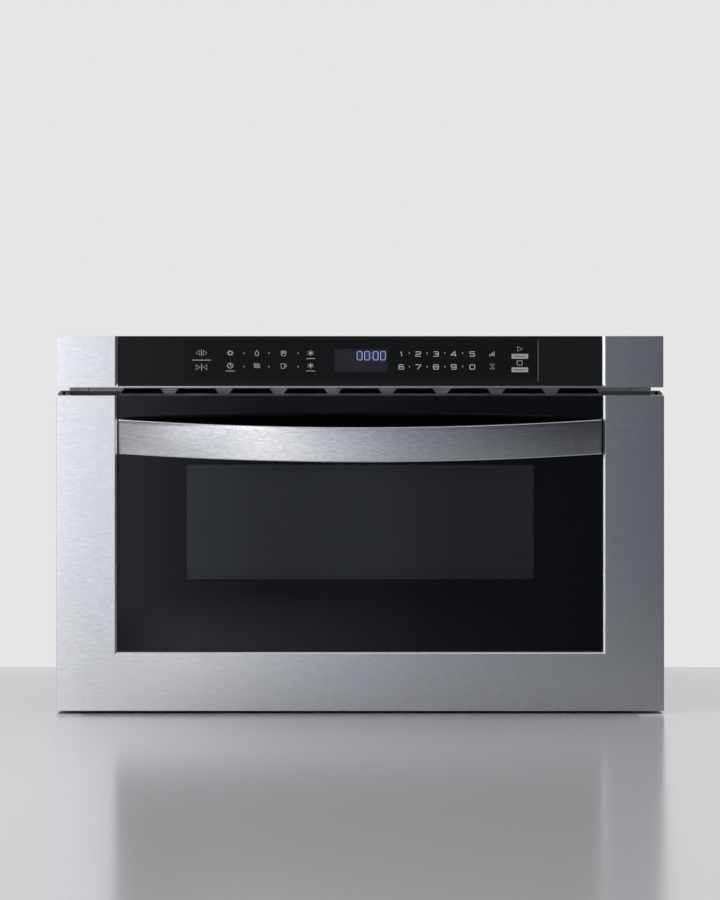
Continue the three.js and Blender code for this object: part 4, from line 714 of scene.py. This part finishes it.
# near-black with little gloss; in the screws' recesses, behind the grille's slots and in the caps'
# holes it paints shade
DEEP_BLACK = moulded("deep_black", (0.003, 0.003, 0.003), 0.6, ior=1.15)
CAP_GREY = painted("cap_grey", (0.17, 0.173, 0.185), 0.4)
RUBBER = moulded("rubber", (0.20, 0.20, 0.212), 0.6)
# black bead that paints the line of shade where the door glass meets its frame
SHADE_BEAD_BLACK = moulded("shade_line_black", (0.006, 0.006, 0.0065), 0.45, ior=1.35)
ENAMEL = painted("enamel", (0.42, 0.42, 0.43))
GLASS = clear_glass("glass", (0.82, 0.83, 0.85))
CERAMIC = ceramic_material()
BRASS = brass_material()

FINISHES = {"stainless": STAINLESS, "grey_steel": GREY_ZINC, "black_glass": GLASS,
            "black_plastic": BLACK_PLASTIC, "screen": screen_material(), "enamel": ENAMEL,
            "ceramic": CERAMIC, "zinc": ZINC_PLATED, "acetal": ACETAL, "motor_steel": MOTOR_STEEL,
            "galvanised": GALVANISED, "pcb": board_material(), "mica": mica_material(),
            "copper": transformer_material(), "bulb": bulb_material()}
OWN_FINISHES = {"frame_cap_left": CAP_GREY, "frame_cap_right": CAP_GREY, "pocket_liner": DEEP_BLACK,
                "control_housing": BLACK_PLASTIC}

MARKS = glow("backlit_marks", (0.80, 0.80, 0.82), 0.10, (0.56, 0.56, 0.57))
KEY_PLATE = glow("backlit_plates", (0.55, 0.55, 0.58), 0.05, (0.34, 0.34, 0.35))
CLOCK_GLOW = glow("clock_segments", (0.38, 0.41, 0.74), 1.4)
CLOCK_WELL = glow("clock_wells", (0.02, 0.025, 0.12), 0.8)
PANEL_BLACK = glossy_black("plate_print", rough=0.3)
PRINT_BLACK = glossy_black("glass_print", (0.0012, 0.0012, 0.0013), 0.025, ior=GLASS_IOR)
DISPLAY_LENS = moulded("display_lens", (0.042, 0.043, 0.052), 0.5, grain=2600, ior=1.2)


def dress(node, material):
    """Gives a CAD node its finish and a small edge radius."""
    piece = nodes[node]
    piece.data.materials.clear()
    piece.data.materials.append(material)
    weld = piece.modifiers.new("weld", "WELD")
    weld.merge_threshold = 0.00001
    flat = piece.modifiers.new("flat", "DECIMATE")
    flat.decimate_type = "DISSOLVE"
    flat.angle_limit = math.radians(1.2)
    soften(piece, EDGE_RADIUS, 28)


for part in frame["record"]["subparts"]:
    dress(part["node"], OWN_FINISHES.get(part["node"], FINISHES[part["material_slot"]]))
nodes["display_module"].data.materials[0] = DISPLAY_LENS


# ---- control panel ----

PRINT_DEPTH = 0.00006  # the black print on the face of the glass
PRINT_SEAT = 0.00001  # between the two
INK_Y = panel_low.y - 0.00012  # marks on the print
CLOCK_Y = panel_high.y + 0.00012  # lit display behind it
DISPLAY = ((at_x(334.2), at_z(372.0)), (at_x(387.3), at_z(348.8)))


def loop_stroke(cut):
    """The unit square with its corners cut off."""
    return [(0.12, 0), (0.88, 0), (1, cut), (1, 1 - cut), (0.88, 1), (0.12, 1), (0, 1 - cut),
            (0, cut), (0.12, 0)]


DIGIT_STROKES = {
    "0": [loop_stroke(0.15)],
    "1": [[(0.25, 0.78), (0.55, 1), (0.55, 0)]],
    "2": [[(0, 0.9), (0.1, 1), (0.9, 1), (1, 0.88), (1, 0.62), (0.88, 0.5), (0.15, 0.45),
           (0, 0.3), (0, 0), (1, 0)]],
    "3": [[(0, 1), (0.88, 1), (1, 0.88), (1, 0.12), (0.88, 0), (0, 0)], [(0.25, 0.52), (1, 0.52)]],
    "4": [[(0.78, 0), (0.78, 1), (0.66, 1), (0, 0.35), (0, 0.27), (1, 0.27)]],
    "5": [[(1, 1), (0.02, 1), (0.02, 0.56), (0.88, 0.56), (1, 0.45), (1, 0.12), (0.88, 0), (0, 0)]],
    "6": [[(0.95, 1), (0.12, 1), (0, 0.85), (0, 0.12), (0.12, 0), (0.88, 0), (1, 0.12), (1, 0.45),
           (0.88, 0.55), (0, 0.55)]],
    "7": [[(0, 1), (1, 1), (1, 0.9), (0.35, 0)]],
    "8": [loop_stroke(0.12), [(0, 0.53), (1, 0.53)]],
    "9": [[(0.05, 0), (0.88, 0), (1, 0.12), (1, 0.88), (0.88, 1), (0.12, 1), (0, 0.88), (0, 0.58),
           (0.12, 0.46), (1, 0.46)]],
}
DASH = [[(0, 0.5), (1, 0.5)]]
BAR = [(0.5, 0), (0.5, 1)]


def ring_stroke(radius, x=0.5, z=0.5):
    return [(x + radius * a, z + radius * b) for a, b in circle(1, 14)] + [(x + radius, z)]


def spokes(start, end, angles):
    """Strokes through the unit square, at distances from its middle."""
    return [[(0.5 + part * math.cos(a), 0.5 + part * math.sin(a)) for part in (start, end)]
            for a in angles]


SYMBOL_STROKES = {
    "open": [[(0.34, 0.1), (0.02, 0.5), (0.34, 0.9), (0.34, 0.1)],
             [(0.66, 0.1), (0.98, 0.5), (0.66, 0.9), (0.66, 0.1)], BAR],
    "close": [[(0.04, 0.1), (0.36, 0.5), (0.04, 0.9), (0.04, 0.1)],
              [(0.96, 0.1), (0.64, 0.5), (0.96, 0.9), (0.96, 0.1)], BAR],
    "wheel": [ring_stroke(0.3)] + spokes(0.34, 0.5, [math.pi * k / 4 for k in range(8)]),
    "drop": [[(0.5, 1), (0.78, 0.52), (0.8, 0.3), (0.68, 0.08), (0.5, 0), (0.32, 0.08),
              (0.2, 0.3), (0.22, 0.52), (0.5, 1)]],
    "corn": [ring_stroke(0.2, 0.3, 0.66), ring_stroke(0.2, 0.7, 0.66),
             [(0.1, 0.42), (0.24, 0), (0.76, 0), (0.9, 0.42)]],
    "flake": spokes(0.5, -0.5, [math.pi * k / 3 + math.pi / 6 for k in range(3)]),
    "clock": [ring_stroke(0.45), [(0.5, 0.82), (0.5, 0.5), (0.72, 0.38)]],
    "waves": [[(k / 8, height + 0.1 * math.sin(k * math.pi / 2)) for k in range(9)]
              for height in (0.2, 0.5, 0.8)],
    "cup": [[(0.1, 0.85), (0.16, 0), (0.64, 0), (0.7, 0.85), (0.1, 0.85)],
            [(0.7, 0.7), (0.95, 0.66), (0.92, 0.3), (0.66, 0.22)]],
    "steps": [[(k / 4 + 0.06, 0), (k / 4 + 0.06, 0.3 + 0.23 * k)] for k in range(4)],
    "glass": [[(0.1, 1), (0.9, 1), (0.1, 0), (0.9, 0), (0.1, 1)]],
    "start": [[(0.15, 0), (0.95, 0.5), (0.15, 1), (0.15, 0)]],
    "stop": [[(0.08, 0.05), (0.92, 0.05), (0.92, 0.95), (0.08, 0.95), (0.08, 0.05)]],
}


def placed(strokes, column, row, wide, high, y=INK_Y):
    """Unit strokes set on the panel round a picture column and row, sized in pixels."""
    return [[(at_x(column + (x - 0.5) * wide), y, at_z(row - (z - 0.5) * high))
             for x, z in stroke] for stroke in strokes]


def control_marks():
    digits, lit, inner = [], [], []
    for row, word in ((354.0, "12345"), (367.0, "67890")):
        for column, digit in zip((401.4, 418.3, 436.0, 453.8, 472.3), word):
            digits += placed(DIGIT_STROKES[digit], column, row, 5.0, 4.4)
    stroke_mesh(digits, "key_digits", MARKS)
    for row in (353.2, 366.6):
        for column in (243.8, 269.0, 298.0, 409.4, 427.2, 445.0, 462.7):
            lit += placed([BAR], column, row, 1, 1.6)
    for row, names in ((353.0, ("wheel", "drop", "corn", "flake")),
                       (365.6, ("clock", "waves", "cup", "flake"))):
        for column, symbol in zip((230.2, 256.8, 283.5, 310.6), names):
            lit += placed(SYMBOL_STROKES[symbol], column, row, 6.4, 5.6)
    for column, row in ((310.6, 358.6), (230.2, 371.0), (310.6, 371.0)):
        lit += placed(DASH, column, row, 9, 1)
    for column, row, symbol in ((492.4, 353.6, "steps"), (492.4, 366.6, "glass"),
                                (519.8, 348.9, "start"), (519.8, 363.0, "stop")):
        lit += placed(SYMBOL_STROKES[symbol], column, row, 6.0, 4.8)
    lit += placed(DASH, 201.5, 360.1, 19, 1)
    for row, symbol in ((352.8, "open"), (367.2, "close")):
        lit += placed(SYMBOL_STROKES[symbol], 201.5, row, 11.5, 6.4)
    stroke_mesh(lit, "key_marks", MARKS, FINE)

    plates = bmesh.new()
    for row in (356.3, 369.8):
        add_box(plates, (at_x(511.7), INK_Y - 0.00001, at_z(row + 2.4)),
                (at_x(528.2), INK_Y + 0.00003, at_z(row - 2.4)))
        inner += placed([[(0.15, 0.5), (0.85, 0.5)]], 519.9, row, 16, 1, INK_Y - 0.00008)
    settle(plates, "key_plates", "case", KEY_PLATE)
    stroke_mesh(inner, "key_plate_lines", PANEL_BLACK, 0.0007)


def clock_digits():
    outline, filling = [], bmesh.new()
    row = 355.7
    for column in (359.6, 367.0, 375.6, 383.0):
        outline += placed(DIGIT_STROKES["0"], column, row, 4.9, 8.4, CLOCK_Y)
        add_box(filling, (at_x(column - 1.6), CLOCK_Y - 0.00003, at_z(row + 3.3)),
                (at_x(column + 1.6), CLOCK_Y + 0.00003, at_z(row - 3.3)))
    for row in (353.6, 357.8):
        outline += placed([[(0.2, 0.5), (0.8, 0.5)]], 371.3, row, 1.2, 1, CLOCK_Y)
    stroke_mesh(outline, "clock_digits", CLOCK_GLOW, 0.0009)
    settle(filling, "clock_digit_wells", "case", CLOCK_WELL)


def panel_print():
    outer = rounded_outline(panel_low.xz, panel_high.xz, 0.0008, inset=0.0003)
    mask = holed_plate(outer, [rounded_outline(*DISPLAY, 0.0006)],
                       panel_low.y - PRINT_DEPTH, panel_low.y - PRINT_SEAT)
    settle(mask, "control_print", "case", panel_glass_material())


# ---- drawer front ----

HANDLE_HALF = 0.2402
HANDLE_TOP = 0.2942  # at its ends
HANDLE_SAG = 0.0078
HANDLE_HEIGHT = 0.035
HANDLE_PROUD = 0.028
HANDLE_BOW = 0.014
HANDLE_LEAN = 0.004
HANDLE_WALL = 0.002
HANDLE_EDGE = 0.0015
HANDLE_CROWN = 0.0005
HANDLE_STEPS = 96
POCKET_HALF = 0.2362


def sag(x):
    return 1 - (x / HANDLE_HALF) ** 2


def handle_section(x, filled):
    """(y, z) loop of the handle at x: a wall and a floor, or the whole end wall."""
    crest = glass_low.y - HANDLE_PROUD + HANDLE_BOW * (1 - sag(x))
    top = HANDLE_TOP - HANDLE_SAG * sag(x)
    bottom = top - HANDLE_HEIGHT
    back = glass_low.y - SEAT
    foot = crest + HANDLE_LEAN
    loop = [(back, bottom)]
    loop += arc(foot + HANDLE_EDGE, bottom + HANDLE_EDGE, HANDLE_EDGE, -90, -90, 5)
    loop += [(foot - HANDLE_LEAN * t - HANDLE_CROWN * 4 * t * (1 - t),
              bottom + HANDLE_EDGE + (HANDLE_HEIGHT - 2 * HANDLE_EDGE) * t)
             for t in (k / 10 for k in range(1, 10))]
    loop += arc(crest + HANDLE_EDGE, top - HANDLE_EDGE, HANDLE_EDGE, 180, -90, 5)
    if filled:
        return loop + [(back, top)]
    return loop + [(crest + HANDLE_WALL, top - 0.0002), (crest + HANDLE_WALL, top - HANDLE_EDGE),
                   (foot + HANDLE_WALL, bottom + HANDLE_WALL), (back, bottom + HANDLE_WALL)]


def make_handle():
    bm = bmesh.new()
    inner = HANDLE_HALF - HANDLE_WALL

    def rings(stations, filled):
        return [[(x, y, z) for y, z in handle_section(x, filled)] for x in stations]

    stations = [-inner + 2 * inner * i / HANDLE_STEPS for i in range(HANDLE_STEPS + 1)]
    add_rings(bm, rings(stations, False))
    for side in (-1, 1):
        walls = rings([side * HANDLE_HALF, side * (HANDLE_HALF - 0.0006), side * inner], True)
        middle_y, middle_z = (sum(point[i] for point in walls[0]) / len(walls[0]) for i in (1, 2))
        walls[0] = [(x, y + (middle_y - y) * 0.02, z + (middle_z - z) * 0.03)
                    for x, y, z in walls[0]]
        add_rings(bm, walls)
    piece = settle(bm, "handle_bar", "drawer", HANDLE_STEEL, smooth=35)
    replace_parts(piece, "handle")


def pocket_edge(grow):
    """Outline of the finger pocket, as (x, z) pairs."""
    half = POCKET_HALF + grow
    across = [-half + 2 * half * i / 40 for i in range(41)]
    floor = [(x, HANDLE_TOP - HANDLE_SAG * sag(x) - HANDLE_HEIGHT + 0.005 - grow) for x in across]
    top = [(x, HANDLE_TOP + 0.0015 + 0.0051 * sag(x) + grow) for x in reversed(across)]
    return floor + top


def glass_edge_shade_bead():
    """Black bead in the corner between the glass and the slope of its frame, at three sides:
    painted shade, a dark line standing in for the shade at the glass's edge.
    """
    section = ((-0.00035, 0.00003), (-0.0002, 0.0006), (0.00085, 0.00085), (0.001, 0.00073),
               (0.00003, 0.00003))
    left, right = glass_low.x - SEAT, glass_high.x + SEAT
    foot, top = glass_low.z - SEAT, glass_high.z - 0.0004
    bm = bmesh.new()
    add_rings(bm, [[(x + side * out, glass_low.y - proud, z - drop * out) for out, proud in section]
                   for x, side, z, drop in ((left, -1, top, 0), (left, -1, foot, 1),
                                            (right, 1, foot, 1), (right, 1, top, 0))])
    settle(bm, "glass_edge_shade_bead", "drawer", SHADE_BEAD_BLACK)


def make_door_front():
    """Handle, the bead of painted shade at the glass's edge, and the print of the glass."""
    make_handle()
    glass_edge_shade_bead()
    outer = rounded_outline(glass_low.xz, glass_high.xz, 0.001, inset=0.0004)
    mask = holed_plate(outer, [rounded_outline(*WINDOW, 0.0015), pocket_edge(0.0002)],
                       glass_low.y - PRINT_DEPTH, glass_low.y - PRINT_SEAT)
    settle(mask, "door_print", "drawer", PRINT_BLACK)


# ---- drawer box ----

PAN_HALF = 0.220  # inside faces of the walls
PAN_BACK = 0.188
PAN_FRONT = -0.23275
PAN_FLOOR = 0.0818
PAN_TOP = 0.232
PAN_SHEET = 0.0006
PAN_CORNER = 0.022
PAN_FILLET = 0.006
PAN_ROLL = 0.0025


def pan_path(inset, z):
    """U-shaped run of the pan's wall: up the left side, round the back, down the right."""
    half, back, radius = PAN_HALF - inset, PAN_BACK - inset, PAN_CORNER - inset
    middle = (PAN_FRONT + PAN_BACK) / 2
    points = [(-half, PAN_FRONT), (-half, middle)]
    for cx, start in ((-half + radius, 180), (half - radius, 90)):
        points += arc(cx, back - radius, radius, start, -90, 8)
    return [(x, y, z) for x, y in points + [(half, middle), (half, PAN_FRONT)]]


def make_pan():
    profile = arc(PAN_FILLET, PAN_FLOOR + PAN_FILLET, PAN_FILLET, -90, -90, 6)
    profile += [(0, 0.12), (0, 0.16), (0, 0.2)]
    profile += arc(-PAN_ROLL, PAN_TOP - PAN_SHEET - PAN_ROLL, PAN_ROLL, 0, 90, 5)
    profile += [(-0.0034, PAN_TOP - 0.0009), (-0.0038, PAN_TOP - 0.002), (-0.0038, PAN_TOP - 0.004)]
    bm = bmesh.new()
    rings = [pan_path(inset, z) for inset, z in profile]
    add_rings(bm, rings, closed=False, caps=False)
    bm.verts.ensure_lookup_table()
    bm.faces.new(bm.verts[:len(rings[0])])
    pan = settle(bm, "pan", "drawer", ENAMEL, smooth=40)
    thick = pan.modifiers.new("thick", "SOLIDIFY")
    thick.thickness = PAN_SHEET * 2
    thick.offset = 0
    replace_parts(pan, "drawer_pan")


def make_ceramic_plate():
    low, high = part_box("ceramic_plate")
    half, back = PAN_HALF - PAN_FILLET - 0.0008, PAN_BACK - PAN_FILLET - 0.0008
    loops = []
    for inset, z in ((0.0010, low.z), (0.0002, low.z + 0.0008), (0, low.z + 0.002),
                     (0, high.z - 0.002), (0.0003, high.z - 0.0007), (0.0012, high.z)):
        loop = rounded_outline((-half, low.y), (half, back), 0.014, 8, inset)
        loops.append([(x, y, z) for x, y in loop])
    bm = bmesh.new()
    add_rings(bm, loops)
    plate = settle(bm, "glass_plate", "drawer", CERAMIC, smooth=40)
    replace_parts(plate, "ceramic_plate")


def make_door_back():
    """Inner pane of the window and the flush screws of the choke panel."""
    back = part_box("choke_panel")[1].y
    (x0, z0), (x1, z1) = WINDOW
    pane = bmesh.new()
    add_box(pane, (x0 + SEAT, back - 0.006, z0 + SEAT), (x1 - SEAT, back - 0.004, z1 - SEAT),
            0.0003)
    settle(pane, "inner_pane", "drawer", GLASS)
    trim = holed_plate(rounded_outline(*WINDOW, 0.006, inset=-0.008),
                       [rounded_outline(*WINDOW, 0.003, inset=0.001)], back + 0.0001, back + 0.0008)
    settle(trim, "inner_window_trim", "drawer", BLACK_PLASTIC)
    screws = bmesh.new()
    for side in (-1, 1):
        for z in (0.064, 0.12, 0.19, 0.262, 0.291):
            add_turned(screws, (side * 0.2518, back, z), (0, 1, 0),
                       [(-0.001, 0.003), (0.0002, 0.003), (0.0004, 0.0024), (0.0004, 0.0012),
                        (-0.0004, 0.0006)], count=18)
    settle(screws, "choke_screws", "drawer", ZINC_PLATED, smooth=30)


def make_slides():
    """Balls between the members of each slide, and the arms' screws."""
    for side, word in SIDES:
        low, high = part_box("middle_slide_" + word)
        balls = bmesh.new()
        for z in (low.z + 0.0026, high.z - 0.0026):
            for k in range(9):
                made = bmesh.ops.create_icosphere(balls, subdivisions=2, radius=0.0017)["verts"]
                for vert in made:
                    vert.co += Vector(((low.x + high.x) / 2, low.y + 0.012 + 0.011 * k, z))
        settle(balls, "slide_balls_" + word, "slide_middles", ZINC_PLATED, smooth=60)
        make_screws("arm_screws_" + word, "drawer", [((side * 0.2432, y, 0.110), (-side, 0, 0),
                                                      0.0034, 0.0015) for y in (-0.165, -0.2)])


# ---- case ----

COVER_SHEET = 0.0012  # of the terminal cover
GRILLE_SLOTS = 9
GRILLE_PITCH = 0.0548
GRILLE_SLOT = 0.0423
GRILLE_FLARE = 0.003  # the slots are narrower at the top
GRILLE_STEP = 0.2420  # beyond it only the upper half of the strip goes on
GAP_END = 0.2922  # outer end of the bars and seals beside the grille
BAR_FOOT = at_z(391.6)
CAP_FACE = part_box("frame_cap_left")[0].y


def make_case_sides():
    for side, word in SIDES:
        low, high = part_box("side_panel_" + word)
        face = high.x if side > 0 else low.x

        def rib(z):
            return 0.0065, lambda inset: [(face, 0.030 + side * a, z + b)
                                          for a, b in stadium(0.200 - inset, 0.017 - inset)]

        emboss("side_ribs_" + word, (side, 0, 0), 0.0022, [rib(0.118), rib(0.250)])
        spots = [(y, 0.3605 if y < 0.26 else 0.34) for y in (-0.205, -0.08, 0.045, 0.17, 0.272)]
        spots += [(y, 0.0075) for y in (-0.205, -0.05, 0.11, 0.272)]
        spots += [(-0.2205, z) for z in (0.06, 0.185, 0.30)]
        make_screws("side_screws_" + word, "case", [((face, y, z), (side, 0, 0)) for y, z in spots])


def make_case_top():
    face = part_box("top_cover")[1].z

    def field(x, half_x, y, half_y):
        return 0.008, lambda inset: [(a, b, face) for a, b in rounded_outline(
            (x - half_x, y - half_y), (x + half_x, y + half_y), 0.024 - inset, 6, inset)]

    def louvre(y):
        return 0.0045, lambda inset: [(0.145 + a, y + b, face)
                                      for a, b in stadium(0.085 - inset, 0.006 - inset)]

    emboss("top_fields", (0, 0, 1), 0.0026,
           [field(-0.12, 0.128, 0.03, 0.175), field(0.145, 0.103, -0.04, 0.105)]
           + [louvre(y) for y in (0.118, 0.138, 0.158, 0.178, 0.198)])
    spots = [(x, y) for x in (-0.262, -0.13, 0.0, 0.13, 0.262) for y in (-0.2205, 0.2835)]
    spots += [(x, y) for y in (-0.09, 0.04, 0.17) for x in (-0.2745, 0.2745)]
    make_screws("top_screws", "case", [((x, y, face), (0, 0, 1)) for x, y in spots])


def make_case_back():
    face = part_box("rear_panel")[1].y
    back = (0, 1, 0)
    spots = [(x, z) for x in (-0.262, -0.09, 0.09, 0.262) for z in (0.0085, 0.3595)]
    spots += [(x, z) for z in (0.10, 0.185, 0.27) for x in (-0.274, 0.274)]
    make_screws("rear_screws", "case",
                [((x, face, z), back) for x, z in spots]
                + [((x, face + COVER_SHEET, z), back, 0.003, 0.0016)
                   for z in (0.348, 0.279) for x in (-0.246, -0.154)])

    cover = holed_plate(rounded_outline((-0.254, 0.272), (-0.146, 0.355), 0.006),
                        [[(-0.2 + a, 0.33 + b) for a, b in circle(0.0142, 32)]],
                        face, face + COVER_SHEET)
    soften(settle(cover, "terminal_cover", "case", GALVANISED), EDGE_RADIUS)

    def rib(z):
        return 0.006, lambda inset: [(a, face, z + b)
                                     for a, b in stadium(0.235 - inset, 0.013 - inset)]

    emboss("rear_ribs", back, 0.0018, [rib(z) for z in (0.075, 0.135, 0.195)])

    earth = bmesh.new()
    add_turned(earth, (-0.128, face, 0.3), back,
               [(0, 0.0055), (0.0008, 0.0055), (0.0008, 0.0046), (0.0042, 0.0046), (0.0046, 0.004)],
               count=6)
    add_turned(earth, (-0.128, face + 0.0046, 0.3), back,
               [(0, 0.0022), (0.0009, 0.0022), (0.0012, 0.0018)], count=14)
    settle(earth, "earth_nut", "case", BRASS, smooth=25)


def make_grille():
    """The grille with its slots, its rails and a black sheet behind the slots, which paints the
    shade inside the case.
    """
    low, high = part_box("vent_grille")
    # painted shade: a near-black sheet behind the slots stands in for the dark inside of the case
    screen = bmesh.new()
    add_box(screen, (low.x, high.y - 0.0012, low.z + 0.0001),
            (high.x, high.y - 0.0008, high.z - 0.0001))
    settle(screen, "slot_shade_sheet", "case", DEEP_BLACK)
    slots = []
    foot, top = GRILLE_SLOT / 2 + 0.001, GRILLE_SLOT / 2 - GRILLE_FLARE
    for k in range(GRILLE_SLOTS):
        x = (k - (GRILLE_SLOTS - 1) / 2) * GRILLE_PITCH
        slots.append([(x - foot, low.z + 0.0009), (x + foot, low.z + 0.0009),
                      (x + top, high.z - 0.0009), (x - top, high.z - 0.0009)])
    outline = [(-GRILLE_STEP, low.z), (GRILLE_STEP, low.z), (GRILLE_STEP, BAR_FOOT),
               (high.x, BAR_FOOT), (high.x, high.z), (low.x, high.z), (low.x, BAR_FOOT),
               (-GRILLE_STEP, BAR_FOOT)]
    plate = holed_plate(outline, slots, low.y, high.y - 0.0016)
    soften(settle(plate, "grille", "case", GREY_ZINC), 0.0002)
    rails = bmesh.new()
    for foot, top in ((low.z, low.z + 0.0008), (high.z - 0.0008, high.z)):
        add_box(rails, (low.x, high.y - 0.0006, foot), (high.x, high.y, top))
    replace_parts(settle(rails, "grille_rails", "case", GREY_ZINC), "vent_grille")


def make_gap_parts():
    """Bars and seals beside the grille, and a black disc in each end cap of the drawer's frame,
    painted shade for the hole there.
    """
    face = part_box("mounting_flange")[0].y
    low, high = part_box("vent_grille")
    bars, seals, holes = bmesh.new(), bmesh.new(), bmesh.new()

    def add_strip(bm, inner, outer, foot, top, proud, seat=0.0001, bevel=0.0):
        ends = sorted((side * inner, side * outer))
        add_box(bm, (ends[0], face - proud, foot), (ends[1], face - seat, top), bevel)

    for side in (-1, 1):
        add_strip(bars, high.x + 0.0004, GAP_END, BAR_FOOT, high.z, 0.0034, 0.0002, 0.0003)
        add_strip(seals, GRILLE_STEP + 0.0004, GAP_END, low.z - 0.001, BAR_FOOT - 0.0001, 0.0005)
        add_strip(seals, high.x - 0.0003, high.x + 0.0004, BAR_FOOT, high.z, 0.0006)
        # painted shade: a flush black disc stands in for the dark of the hole in the cap
        add_turned(holes, (side * 0.2969, CAP_FACE, 0.3197), (0, -1, 0),
                   [(-0.0004, 0.0018), (0.0001, 0.0018), (0.0002, 0.0016)], count=20)
    settle(bars, "gap_bars", "case", GREY_ZINC)
    settle(seals, "gap_seals", "case", RUBBER)
    settle(holes, "cap_hole_shade_discs", "drawer", DEEP_BLACK, smooth=30)


control_marks()
clock_digits()
make_door_front()
panel_print()
make_pan()
make_ceramic_plate()
make_door_back()
make_slides()
make_case_sides()
make_case_top()
make_case_back()
make_screws("flange_screws", "case", [((side * 0.2868, -0.231, z), (0, -1, 0), 0.0038, 0.0012)
                                      for side in (-1, 1) for z in (0.03, 0.11, 0.19, 0.27)])
make_grille()
make_gap_parts()
